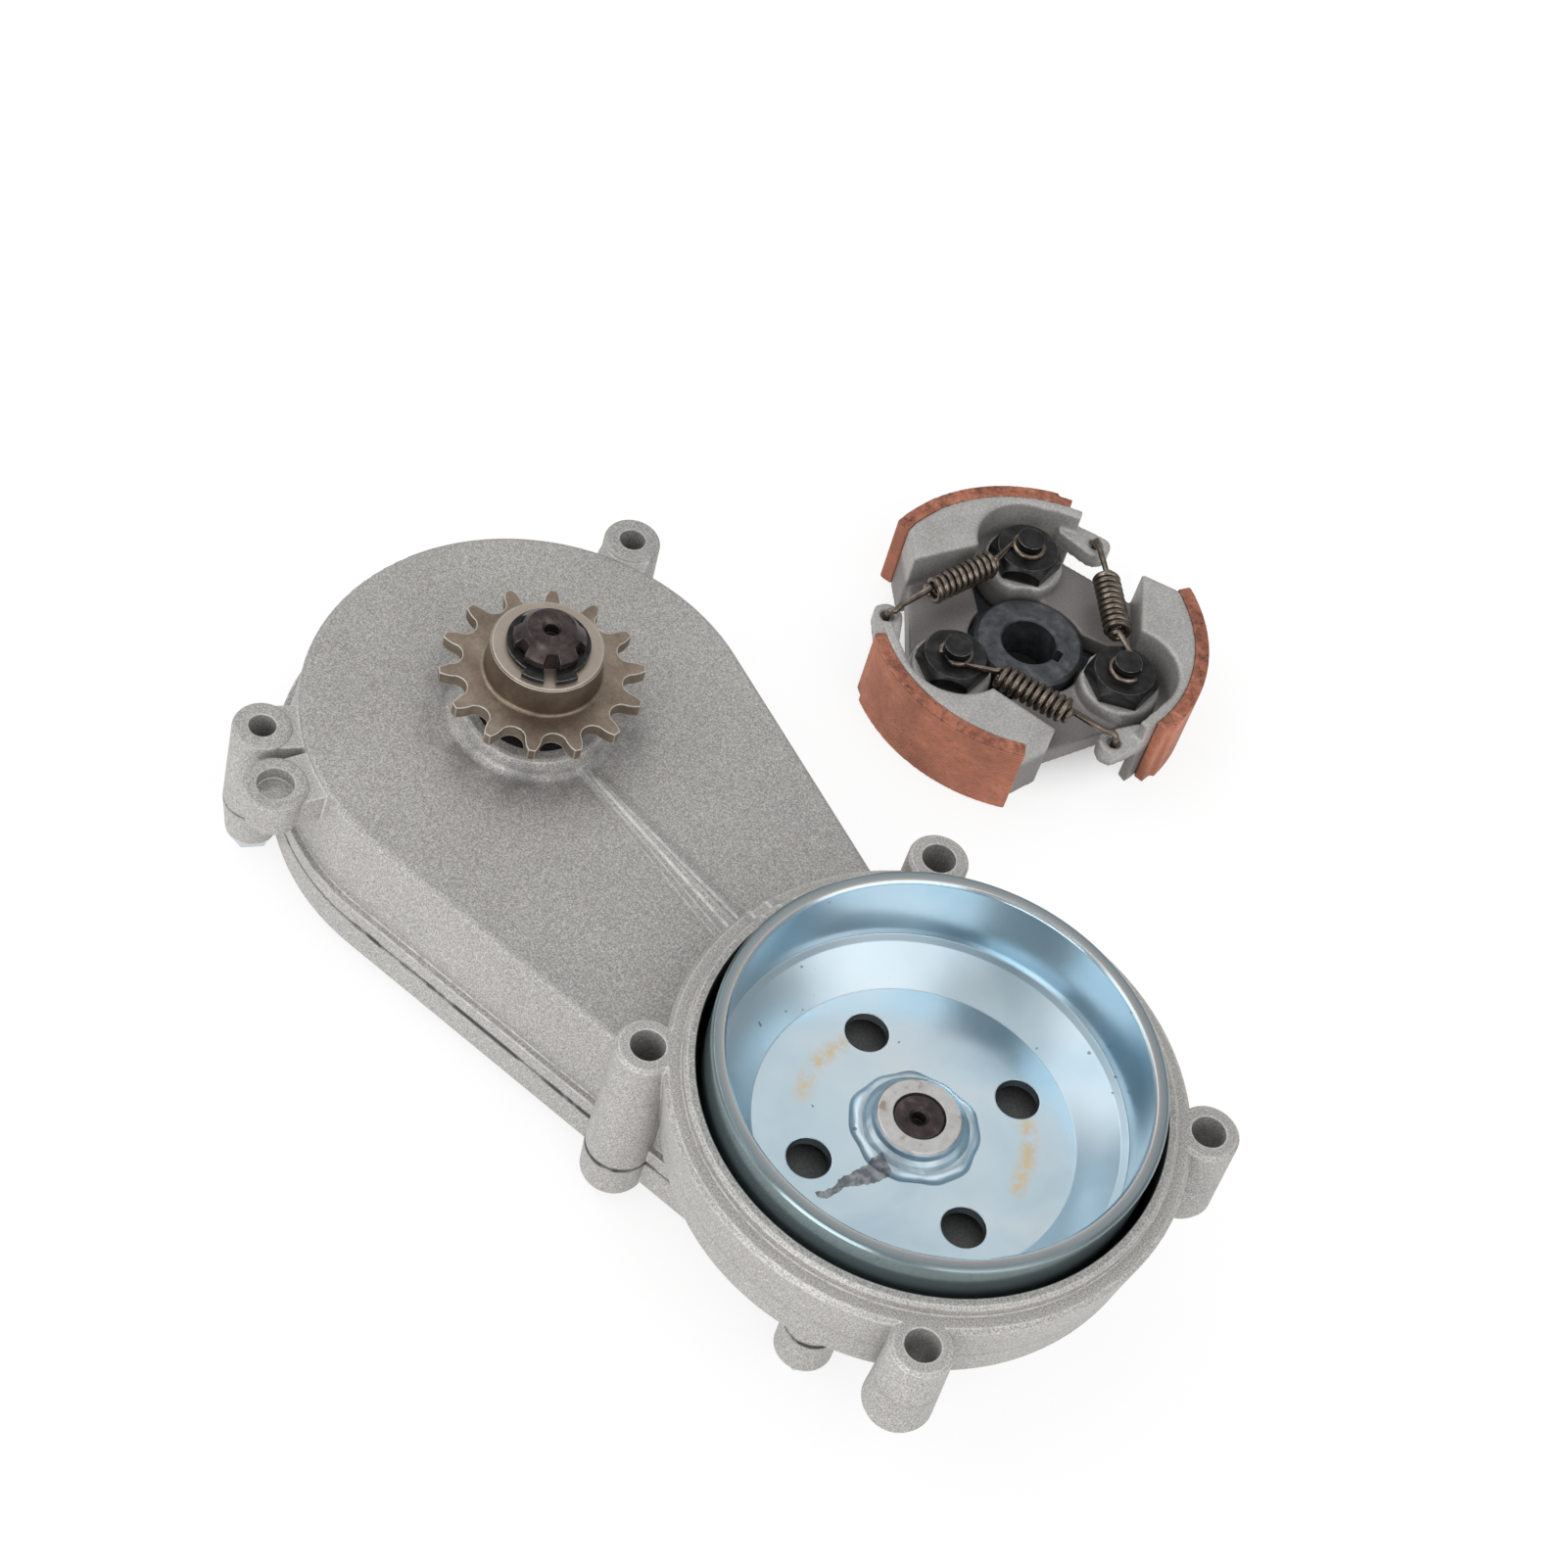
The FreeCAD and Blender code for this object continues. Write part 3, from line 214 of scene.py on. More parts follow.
class Shader:
    """A node material with short calls for the nodes that it needs."""

    def __init__(self, name):
        self.material = bpy.data.materials.new(name)
        self.material.use_nodes = True
        self.tree = self.material.node_tree
        self.tree.nodes.clear()
        output = self.tree.nodes.new("ShaderNodeOutputMaterial")
        self.bsdf = self.tree.nodes.new("ShaderNodeBsdfPrincipled")
        self.link(self.bsdf.outputs[0], output.inputs[0])
        self.place = self.tree.nodes.new("ShaderNodeTexCoord").outputs["Object"]

    def link(self, source, target):
        self.tree.links.new(source, target)

    def put(self, socket, value):
        """Set a socket to a number or colour, or link it."""
        if hasattr(value, "links"):
            self.link(value, socket)
        elif isinstance(value, tuple) and len(value) == 3 and len(socket.default_value) == 4:
            socket.default_value = (*value, 1.0)
        else:
            socket.default_value = value

    def noise(self, size_mm, detail=3.0, rough=0.5, distortion=0.0):
        """Noise with features of about this size."""
        node = self.tree.nodes.new("ShaderNodeTexNoise")
        self.link(self.place, node.inputs["Vector"])
        node.inputs["Scale"].default_value = 1.0 / (size_mm * MM)
        node.inputs["Detail"].default_value = detail
        node.inputs["Roughness"].default_value = rough
        node.inputs["Distortion"].default_value = distortion
        return node.outputs["Fac"]

    def ramp(self, value, stops):
        """Colours or greys at stops from 0 to 1."""
        node = self.tree.nodes.new("ShaderNodeValToRGB")
        self.put(node.inputs[0], value)
        elements = node.color_ramp.elements
        while len(elements) < len(stops):
            elements.new(0.5)
        for element, (at, colour) in zip(elements, stops):
            element.position = at
            element.color = (*colour, 1.0) if isinstance(colour, tuple) else (colour, colour, colour, 1.0)
        return node.outputs[0]

    def math(self, operation, a, b=0.0, clamp=False):
        node = self.tree.nodes.new("ShaderNodeMath")
        node.operation = operation
        node.use_clamp = clamp
        self.put(node.inputs[0], a)
        self.put(node.inputs[1], b)
        return node.outputs[0]

    def times(self, *values):
        """Product of two or more values."""
        product = values[0]
        for value in values[1:]:
            product = self.math("MULTIPLY", product, value)
        return product

    def less(self, a, b):
        """1 where a is below b, and 0 elsewhere."""
        return self.math("LESS_THAN", a, b)

    def more(self, a, b):
        """1 where a is above b, and 0 elsewhere."""
        return self.math("GREATER_THAN", a, b)

    def away(self, value, middle):
        """Size of the difference between a value and a middle."""
        return self.math("ABSOLUTE", self.math("SUBTRACT", value, middle))

    def peak(self, distance, slope):
        """1 at no distance, falling by the slope to 0."""
        return self.math("SUBTRACT", 1.0, self.times(distance, slope), True)

    def mix(self, share, a, b, blend="MIX"):
        node = self.tree.nodes.new("ShaderNodeMix")
        node.data_type = "RGBA"
        node.blend_type = blend
        self.put(node.inputs["Factor"], share)
        self.put(node.inputs["A"], a)
        self.put(node.inputs["B"], b)
        return node.outputs["Result"]

    def between(self, value, low, high):
        """Remap a 0 to 1 value to a range."""
        node = self.tree.nodes.new("ShaderNodeMapRange")
        self.put(node.inputs["Value"], value)
        node.inputs["To Min"].default_value = low
        node.inputs["To Max"].default_value = high
        return node.outputs[0]

    def bump(self, height, distance_mm, strength, normal=None):
        node = self.tree.nodes.new("ShaderNodeBump")
        node.inputs["Strength"].default_value = strength
        node.inputs["Distance"].default_value = distance_mm * MM
        self.put(node.inputs["Height"], height)
        if normal is not None:
            self.link(normal, node.inputs["Normal"])
        return node.outputs[0]

    def soft_edges(self, radius_mm):
        node = self.tree.nodes.new("ShaderNodeBevel")
        node.samples = 6
        node.inputs["Radius"].default_value = radius_mm * MM
        return node.outputs[0]

    def edge_share(self, radius_mm):
        """About 0 on flats, and towards 1 on edges."""
        rounded = self.soft_edges(radius_mm)
        true_normal = self.tree.nodes.new("ShaderNodeNewGeometry").outputs["Normal"]
        dot = self.tree.nodes.new("ShaderNodeVectorMath")
        dot.operation = "DOT_PRODUCT"
        self.link(rounded, dot.inputs[0])
        self.link(true_normal, dot.inputs[1])
        return self.math("SUBTRACT", 1.0, dot.outputs["Value"], True)

    def axis(self, name):
        """A coordinate in millimetres."""
        node = self.tree.nodes.new("ShaderNodeSeparateXYZ")
        self.link(self.place, node.inputs[0])
        return self.times(node.outputs[name], 1 / MM)

    def distance_from(self, x_mm, y_mm):
        """Distance in millimetres from an upright line."""
        dx = self.math("SUBTRACT", self.axis("X"), x_mm)
        dy = self.math("SUBTRACT", self.axis("Y"), y_mm)
        return self.math("SQRT", self.math("ADD", self.times(dx, dx), self.times(dy, dy)))

    def mark(self, start, end, width_mm, taper):
        """Ragged streak between two upright lines, 1 on it and 0 away from it."""
        ax, ay = start
        run_x, run_y = end[0] - ax, end[1] - ay
        length = math.hypot(run_x, run_y)
        ux, uy = run_x / length, run_y / length
        px = self.math("SUBTRACT", self.axis("X"), ax)
        py = self.math("SUBTRACT", self.axis("Y"), ay)
        along = self.math("ADD", self.times(px, ux), self.times(py, uy))
        across = self.math("SUBTRACT", self.times(px, uy), self.times(py, ux))
        wander = self.times(self.math("SUBTRACT", self.noise(5.0), 0.5), 5.0)
        aside = self.math("ABSOLUTE", self.math("ADD", across, wander))
        narrowing = self.times(along, taper * width_mm / length)
        inside = self.less(aside, self.math("SUBTRACT", width_mm, narrowing))
        return self.times(inside, self.more(along, 0.0), self.less(along, length))

    def facing(self, degrees):
        """1 where a point lies straight this way from the drum's axis, and less to both sides."""
        a = math.radians(degrees)
        along_x = self.times(self.axis("X"), math.cos(a))
        along_y = self.times(self.axis("Y"), math.sin(a))
        flat = self.math("ADD", along_x, along_y)
        return self.math("DIVIDE", flat, self.distance_from(0, 0))

    def done(self, colour, metallic, roughness, normal):
        self.put(self.bsdf.inputs["Base Color"], colour)
        self.put(self.bsdf.inputs["Metallic"], metallic)
        self.put(self.bsdf.inputs["Roughness"], roughness)
        self.link(normal, self.bsdf.inputs["Normal"])
        return self.material


def cast_paint():
    """Silver-grey painted casting: fine sharp grain, pale specks, faint clouds, pale edges that are partly
    wear and partly painted highlight, painted shade on the plate's top and inside the bowl, and painted
    highlights and shade along the rib.
    """
    s = Shader("cast_paint")
    grain = s.noise(0.30, 2.0, 0.65)
    speck = s.ramp(s.noise(0.45, 1.0), [(0.60, 0.0), (0.70, 1.0)])
    colour = s.ramp(grain, [
        (0.33, (0.225, 0.218, 0.208)), (0.5, (0.365, 0.355, 0.34)), (0.66, (0.56, 0.546, 0.525)),
    ])
    cloud = s.ramp(s.noise(34.0), [(0.35, (0.93, 0.93, 0.93)), (0.65, (1.05, 1.05, 1.045))])
    colour = s.mix(1.0, colour, cloud, "MULTIPLY")
    colour = s.mix(s.times(speck, 0.5), colour, (0.66, 0.65, 0.63))
    seam = s.less(s.away(s.axis("Z"), SEAM_Z), SEAM_HALF)
    # Pale edges, partly wear and partly painted highlight.
    edge_paleness = s.ramp(s.edge_share(0.8), [(0.015, 0.0), (0.12, 1.0)])
    broken = s.ramp(s.noise(2.2, 3.0, 0.6), [(0.35, 0.25), (0.65, 1.0)])
    off_seam = s.math("SUBTRACT", 1.0, seam)
    colour = s.mix(s.times(edge_paleness, off_seam, broken, 0.85), colour, (0.78, 0.77, 0.75))
    colour = boss_dark_ring(s, colour)
    # Painted shade: the plate's top is painted a little darker.
    on_plate = s.less(s.away(s.axis("Z"), PLATE_Z), PLATE_SLACK)
    colour = s.mix(s.times(on_plate, 0.16), colour, (0.13, 0.125, 0.12))
    open_seam = s.ramp(s.noise(11.0, 3.0, 0.6), [(0.44, 0.15), (0.52, 1.0)])
    colour = s.mix(s.times(seam, open_seam, 0.85), colour, (0.05, 0.047, 0.043))
    colour = rib_highlights_and_shade(s, colour, broken)
    # Painted shade: the inside of the bowl is painted near black.
    in_bowl = s.less(s.distance_from(0, 0), BOWL_SHADE_R)
    deep = s.more(s.axis("Z"), BOWL_SHADE_Z)
    colour = s.mix(s.times(in_bowl, deep, 0.86), colour, (0.03, 0.03, 0.03))
    pores = s.ramp(s.noise(1.9, 3.0, 0.7), [(0.24, 1.0), (0.30, 0.0)])
    colour = s.mix(s.times(pores, 0.5), colour, (0.10, 0.095, 0.09))
    normal = s.bump(s.noise(9.0, 2.0), 0.12, 0.25, s.soft_edges(0.45))
    normal = s.bump(grain, 0.035, 0.5, normal)
    return s.done(colour, 0.35, s.between(grain, 0.58, 0.42), normal)


def boss_dark_ring(s, colour):
    """Darker patches in a ring round the output boss."""
    near_boss = s.peak(s.away(s.distance_from(OUTPUT_X, 0), DARK_RING_R), 0.13)
    dark_patches = s.ramp(s.noise(9.0, 3.0, 0.6), [(0.42, 0.0), (0.62, 1.0)])
    return s.mix(s.times(near_boss, dark_patches, 0.72), colour, (0.13, 0.125, 0.12))


def rib_highlights_and_shade(s, colour, broken):
    """Painted highlights along both edges of the rib, and painted shade just outside them."""
    on_run = s.math("DIVIDE", s.math("SUBTRACT", s.axis("X"), RIB_FROM), RIB_TO - RIB_FROM)
    half_width = s.math("ADD", s.times(on_run, RIB_SPREAD), RIB_HALF)
    off_edge = s.math("SUBTRACT", s.math("ABSOLUTE", s.axis("Y")), half_width)
    upper = s.more(s.axis("Z"), PLATE_Z - PLATE_SLACK)
    on_rib = s.times(s.more(on_run, 0.0), s.less(on_run, 1.0), upper)
    ridge_highlight = s.less(s.math("ABSOLUTE", off_edge), RIDGE_HALF)
    flank_shade = s.peak(s.away(off_edge, FLANK_OUT), 0.8)
    colour = s.mix(s.times(flank_shade, on_rib, 0.35), colour, (0.17, 0.165, 0.158))
    return s.mix(s.times(ridge_highlight, on_rib, broken, 0.75), colour, (0.76, 0.75, 0.73))


def drum_plating(name, lumps=0.0):
    """Blue bright zinc: soft colour drift, turned rings, painted shade on the floor, a painted highlight band
    on the rim's top, and a weld's lumps on the hub.
    """
    s = Shader(name)
    radius = s.distance_from(0, 0)
    tint = s.ramp(s.noise(24.0, 3.0, 0.5, 0.5), [
        (0.32, (0.46, 0.60, 0.69)), (0.46, (0.54, 0.665, 0.74)),
        (0.60, (0.61, 0.705, 0.765)), (0.74, (0.65, 0.715, 0.75)),
    ])
    high = s.ramp(s.times(s.axis("Z"), 0.1), [(0.0, 0.0), (0.8, 1.0)])
    tint = s.mix(s.times(high, 0.35), tint, (0.42, 0.60, 0.72))
    tint = stains(s, tint, radius)
    # Painted shade: the drum's floor is painted a little darker.
    tint = s.mix(s.times(s.less(radius, DRUM_FLOOR_R), 0.10), tint, (0.24, 0.29, 0.32))
    ledge = s.times(s.more(radius, DRUM_FLOOR_R), s.less(s.axis("Z"), DRUM_STEP_Z))
    tint = s.mix(s.times(ledge, 0.36), tint, (0.34, 0.42, 0.46))
    rub = s.mark(SMEAR_FROM, SMEAR_TO, SMEAR_HALF, SMEAR_TAPER)
    rub_tone = s.ramp(s.noise(1.6, 2.0), [(0.40, (0.15, 0.155, 0.17)), (0.60, (0.36, 0.37, 0.39))])
    tint = s.mix(s.times(rub, 0.9), tint, rub_tone)
    dots = s.ramp(s.noise(2.3, 1.0), [(0.205, 1.0), (0.225, 0.0)])
    tint = s.mix(s.times(dots, 0.7), tint, (0.10, 0.10, 0.11))
    pale_edges = s.ramp(s.edge_share(0.5), [(0.05, 0.0), (0.3, 1.0)])
    tint = s.mix(s.times(pale_edges, 0.2 if lumps else 0.6), tint, (0.74, 0.77, 0.78))
    normal = s.bump(turned_rings(s, radius), 0.012, 0.3, s.soft_edges(0.35))
    normal = s.bump(s.noise(0.8, 3.0, 0.6), 0.012, 0.3, normal)
    normal = s.bump(s.noise(14.0, 1.0), 0.25, 0.35, normal)
    if lumps:
        normal = s.bump(s.noise(3.4, 1.0, 0.4, 0.3), lumps, 0.5, normal)
        smudge = s.ramp(s.noise(2.6, 3.0, 0.6), [
            (0.30, (0.42, 0.35, 0.30)), (0.40, (0.60, 0.585, 0.565)), (0.70, (0.68, 0.675, 0.66)),
        ])
        tint = s.mix(s.more(s.axis("Z"), DRUM_HUB_FACE_Z), tint, smudge)
    outside = s.more(radius, DRUM_OUTSIDE_R)
    tint = s.mix(s.times(outside, 0.8), tint, (0.20, 0.265, 0.265))
    # Painted highlight: the rim's top is painted with a pale band on its inner side, darker outward.
    over_rim = s.times(s.math("SUBTRACT", radius, DRUM_INNER_R), 1 / (DRUM_OUTER_R - DRUM_INNER_R))
    rim_highlight_tone = s.ramp(over_rim, [
        (0.05, (0.58, 0.66, 0.70)), (0.17, (0.60, 0.62, 0.62)), (0.29, (0.35, 0.32, 0.30)),
        (0.50, (0.23, 0.26, 0.27)), (0.95, (0.16, 0.20, 0.22)),
    ])
    tint = s.mix(s.times(s.more(s.axis("Z"), DRUM_RIM_FACE_Z), 0.9), tint, rim_highlight_tone)
    matt = s.times(s.math("MAXIMUM", rub, s.times(ledge, 0.55)), 0.25)
    matt = s.math("ADD", matt, 0.2 if lumps else 0.0)
    rough = s.math("ADD", s.between(s.noise(9.0), 0.13, 0.25), matt)
    return s.done(tint, s.math("SUBTRACT", 1.0, s.times(outside, 0.2)), rough, normal)


def stains(s, tint, radius):
    """Brown stains on two arcs of the hole circle."""
    near_band = s.peak(s.away(radius, STAIN_R), 0.40)
    first, second = (s.facing(angle) for angle in STAIN_ANGLES)
    patch = s.ramp(s.math("MAXIMUM", first, second), [(0.90, 0.0), (0.95, 1.0)])
    mottle = s.ramp(s.noise(3.0, 4.0, 0.7), [(0.36, 0.0), (0.56, 1.0)])
    return s.mix(s.times(near_band, patch, mottle), tint, (0.66, 0.53, 0.34))


def turned_rings(s, radius):
    """Fine rings round the drum's axis."""
    line = s.tree.nodes.new("ShaderNodeCombineXYZ")
    s.link(radius, line.inputs[0])
    ring = s.tree.nodes.new("ShaderNodeTexNoise")
    s.link(line.outputs[0], ring.inputs["Vector"])
    ring.inputs["Scale"].default_value = 3.2
    ring.inputs["Detail"].default_value = 2.0
    return ring.outputs["Fac"]


def bronze_steel():
    """Olive-brown heat-treated sprocket, with painted shade on the hub's side and pale edges that are partly
    wear and partly painted highlight.
    """
    s = Shader("bronze_steel")
    tone = s.noise(6.0, 4.0, 0.6)
    colour = s.ramp(tone, [
        (0.30, (0.185, 0.142, 0.108)), (0.52, (0.26, 0.208, 0.162)), (0.72, (0.35, 0.292, 0.236)),
    ])
    fine = s.ramp(s.noise(0.7, 3.0, 0.65), [(0.35, (0.88, 0.88, 0.88)), (0.65, (1.08, 1.08, 1.08))])
    colour = s.mix(1.0, colour, fine, "MULTIPLY")
    face = s.more(s.axis("Z"), SPROCKET_FACE_Z)
    colour = s.mix(s.times(face, 0.55), colour, (0.52, 0.45, 0.385))
    # Painted shade: the side of the hub is painted darker.
    on_hub = s.less(s.distance_from(OUTPUT_X, 0), SPROCKET_HUB_R)
    hub_side_shade = s.times(on_hub, s.less(s.axis("Z"), SPROCKET_HUB_Z))
    colour = s.mix(s.times(hub_side_shade, 0.45), colour, (0.09, 0.062, 0.045))
    # Pale edges, partly wear and partly painted highlight.
    pale_edges = s.ramp(s.edge_share(0.5), [(0.015, 0.0), (0.12, 1.0)])
    colour = s.mix(s.times(pale_edges, 0.85), colour, (0.86, 0.82, 0.76))
    normal = s.bump(s.noise(0.4, 2.0), 0.015, 0.4, s.soft_edges(0.18))
    return s.done(colour, 0.85, s.between(tone, 0.34, 0.50), normal)


def dark_steel(name, tones, rough_low=0.25, rough_high=0.5, metallic=0.75, wear=0.35):
    """Oiled or blackened steel in a deep, a middle and a pale tone, with edges bared by wear."""
    s = Shader(name)
    deep, mid, pale = tones
    tone = s.noise(2.6, 4.0, 0.6)
    colour = s.ramp(tone, [(0.32, deep), (0.55, mid), (0.74, pale)])
    pale_edges = s.ramp(s.edge_share(0.35), [(0.03, 0.0), (0.20, 1.0)])
    chipped = s.ramp(s.noise(1.5, 4.0, 0.7), [(0.38, 0.2), (0.56, 1.0)])
    bare = tuple(min(1.0, c * 2.6 + 0.20 * wear) for c in pale)
    colour = s.mix(s.times(pale_edges, chipped, wear), colour, bare)
    normal = s.bump(s.noise(0.5, 3.0), 0.02, 0.45, s.soft_edges(0.25))
    return s.done(colour, metallic, s.between(tone, rough_high, rough_low), normal)


def shoe_casting():
    """Tumbled die casting, darker towards the bottom."""
    s = Shader("shoe_casting")
    grain = s.noise(0.5, 3.0, 0.65)
    colour = s.ramp(grain, [
        (0.3, (0.31, 0.302, 0.292)), (0.52, (0.41, 0.40, 0.388)), (0.72, (0.54, 0.53, 0.515)),
    ])
    cloud = s.ramp(s.noise(7.0), [(0.35, (0.90, 0.90, 0.89)), (0.65, (1.05, 1.05, 1.05))])
    colour = s.mix(1.0, colour, cloud, "MULTIPLY")
    # Darker towards the bottom, fading out a little above the arms' top.
    height = s.math("SUBTRACT", s.axis("Z"), ARM_TOP)
    level = s.math("MULTIPLY", height, 1.0 / LOW_DARK_FADE, True)
    colour = s.mix(s.times(s.math("SUBTRACT", 1.0, level), 0.75), colour, (0.145, 0.135, 0.13))
    edge_paleness = s.ramp(s.edge_share(0.4), [(0.04, 0.0), (0.22, 1.0)])
    colour = s.mix(s.times(edge_paleness, 0.5), colour, (0.64, 0.63, 0.61))
    normal = s.bump(grain, 0.06, 0.6, s.soft_edges(0.7))
    return s.done(colour, 0.45, s.between(grain, 0.56, 0.40), normal)


def friction_lining():
    """Copper-coloured friction lining: fine turned grooves, dark pits and scuffed patches."""
    s = Shader("friction_lining")
    tone = s.noise(5.0, 4.0, 0.6)
    colour = s.ramp(tone, [
        (0.3, (0.34, 0.105, 0.055)), (0.52, (0.45, 0.145, 0.08)), (0.72, (0.53, 0.20, 0.12)),
    ])
    scuff = s.ramp(s.noise(1.4, 4.0, 0.7), [(0.40, 1.0), (0.52, 0.0)])
    colour = s.mix(s.times(scuff, 0.35), colour, (0.17, 0.075, 0.05))
    specks = s.ramp(s.noise(0.9, 2.0), [(0.27, 1.0), (0.32, 0.0)])
    colour = s.mix(s.times(specks, 0.8), colour, (0.05, 0.025, 0.018))
    lines = s.tree.nodes.new("ShaderNodeTexWave")
    lines.bands_direction = "Z"
    s.link(s.place, lines.inputs["Vector"])
    lines.inputs["Scale"].default_value = 1.0 / (2.2 * MM)
    lines.inputs["Distortion"].default_value = 0.5
    lines.inputs["Detail"].default_value = 2.0
    paler = s.mix(s.times(lines.outputs["Fac"], 0.4), colour, (0.68, 0.31, 0.20))
    on_top = s.more(s.axis("Z"), LINING_FACE_Z)
    grime = s.ramp(s.noise(1.8, 4.0, 0.75), [(0.36, (0.30, 0.27, 0.27)), (0.60, (0.88, 0.90, 0.92))])
    paler = s.mix(s.times(on_top, 0.85), paler, s.mix(1.0, paler, grime, "MULTIPLY"))
    broad = s.ramp(s.noise(16.0, 3.0, 0.6), [(0.36, (0.72, 0.70, 0.70)), (0.60, (1.04, 1.04, 1.04))])
    paler = s.mix(1.0, paler, broad, "MULTIPLY")
    normal = s.bump(lines.outputs["Fac"], 0.06, 0.7, s.soft_edges(0.4))
    normal = s.bump(s.noise(0.35, 2.0), 0.03, 0.4, normal)
    return s.done(paler, 0.15, 0.62, normal)


def plain_steel(name, colour, roughness):
    s = Shader(name)
    tone = s.noise(3.0)
    darker = tuple(c * 0.82 for c in colour)
    lighter = tuple(min(1.0, c * 1.12) for c in colour)
    normal = s.bump(s.noise(0.4, 2.0), 0.012, 0.35, s.soft_edges(0.25))
    return s.done(s.mix(tone, darker, lighter), 1.0, s.between(tone, roughness, roughness + 0.14), normal)


def soft_material(name, size_mm, dark, light, roughness):
    """Rubber or gasket paper: a fine dark tone and nothing shiny."""
    s = Shader(name)
    tone = s.noise(size_mm)
    return s.done(s.mix(tone, dark, light), 0.0, roughness, s.bump(tone, 0.03, 0.4))


def paint_nodes():
    """Give each CAD node its finish, and round the shoes and linings."""
    casting = cast_paint()
    gasket = soft_material("gasket_paper", 0.6, (0.018, 0.017, 0.016), (0.05, 0.046, 0.04), 0.85)
    seal = soft_material("seal_rubber", 1.2, (0.012, 0.012, 0.013), (0.03, 0.03, 0.032), 0.55)
    steel = plain_steel("ground_steel", (0.62, 0.62, 0.63), 0.24)
    zinc = plain_steel("zinc_screws", (0.66, 0.70, 0.73), 0.26)
    chain_tones = ((0.05, 0.045, 0.04), (0.13, 0.12, 0.11), (0.26, 0.24, 0.22))
    black_tones = ((0.012, 0.012, 0.013), (0.026, 0.025, 0.026), (0.05, 0.048, 0.048))
    blue_tones = ((0.042, 0.045, 0.050), (0.076, 0.081, 0.088), (0.13, 0.136, 0.145))
    shaft_tones = ((0.030, 0.022, 0.022), (0.065, 0.050, 0.048), (0.13, 0.10, 0.095))
    chain = dark_steel("oiled_chain", chain_tones)
    black = dark_steel("black_oxide", black_tones, 0.22, 0.42, wear=0.9)
    blue = dark_steel("blue_black", blue_tones, 0.34, 0.52, 0.6, 0.5)
    shaft = dark_steel("shaft_black", shaft_tones, 0.3, 0.5)
    shoe = shoe_casting()
    lining = friction_lining()
    finishes = {
        "front_case": casting,
        "rear_cover": casting,
        "case_gasket": gasket,
        "cover_screws": zinc,
        "dowel_sleeves": steel,
        "output_oil_seal": seal,
        "drive_chain": chain,
        "drive_sprocket": chain,
        "driven_sprocket": chain,
        "clutch_drum": drum_plating("drum_zinc"),
        "drum_hub": drum_plating("hub_zinc", 0.5),
        "input_shaft": shaft,
        "output_shaft": shaft,
        "front_sprocket": bronze_steel(),
        "sprocket_circlip": black,
        "clutch_hub": blue,
        "pivot_bolts": black,
    }
    for name, node in nodes.items():
        finish = finishes.get(name)
        if name.startswith("clutch_shoe_"):
            finish = shoe
            ease_corners(node, SHOE_GRID, SHOE_PASSES)
        elif name.startswith("shoe_lining_"):
            finish = lining
            ease_corners(node, LINING_GRID, LINING_PASSES)
        elif "bearing" in name:
            finish = steel
        elif name.startswith("shoe_spring_"):
            finish = black
        node.data.materials.clear()
        node.data.materials.append(finish)


def ease_corners(node, grid_mm, passes):
    """Worn, rounded corners all over, as a tumbled casting has."""
    joined = node.modifiers.new("joined", "WELD")
    joined.merge_threshold = JOIN_DISTANCE * MM
    skin = node.modifiers.new("skin", "REMESH")
    skin.mode = "VOXEL"
    skin.voxel_size = grid_mm * MM
    skin.use_smooth_shade = True
    smooth = node.modifiers.new("smooth", "SMOOTH")
    smooth.factor = 0.5
    smooth.iterations = passes


def polar(r, degrees, z):
    a = math.radians(degrees)
    return Vector((r * math.cos(a), r * math.sin(a), z))


def on_clutch(bolt, point):
    """Place of a point of the clutch's own frame, turned to the bolt with this number, in millimetres."""
    spin = Matrix.Rotation(math.radians(CLUTCH_ANGLE + 120 * bolt), 3, "Z")
    return spin @ point + Vector((CLUTCH_X, CLUTCH_Y, 0))


def wire_mesh(name, points, shares, radius, finish):
    """Round wire along points in millimetres, as a mesh."""
    curve = bpy.data.curves.new(name + "_line", "CURVE")
    curve.dimensions = "3D"
    curve.bevel_depth = radius * MM
    curve.bevel_resolution = 4
    curve.use_fill_caps = True
    spline = curve.splines.new("POLY")
    spline.points.add(len(points) - 1)
    for place, point, share in zip(spline.points, points, shares):
        place.co = (*(point * MM), 1.0)
        place.radius = share
    line = bpy.data.objects.new(name + "_line", curve)
    bpy.context.scene.collection.objects.link(line)
    bpy.context.view_layer.update()
    mesh = bpy.data.meshes.new_from_object(line.evaluated_get(bpy.context.evaluated_depsgraph_get()))
    bpy.data.objects.remove(line)
    mesh.name = name
    piece = bpy.data.objects.new(name, mesh)
    bpy.context.scene.collection.objects.link(piece)
    mesh.shade_smooth()
    mesh.materials.clear()
    mesh.materials.append(finish)
    return piece


def loop_points(post, along):
    """Loop round the bolt's post, which drops slightly as it leaves."""
    loop_r = POST_R + WIRE_R + LOOP_CLEARANCE
    first = math.atan2(along.y, along.x)
    points = []
    for i in range(LOOP_POINTS):
        a = first + math.radians(LOOP_FROM - i * LOOP_TURN)
        drop = -LOOP_DROP * (LOOP_POINTS - 1 - i)
        points.append(post + Vector((math.cos(a) * loop_r, math.sin(a) * loop_r, drop)))
    return points


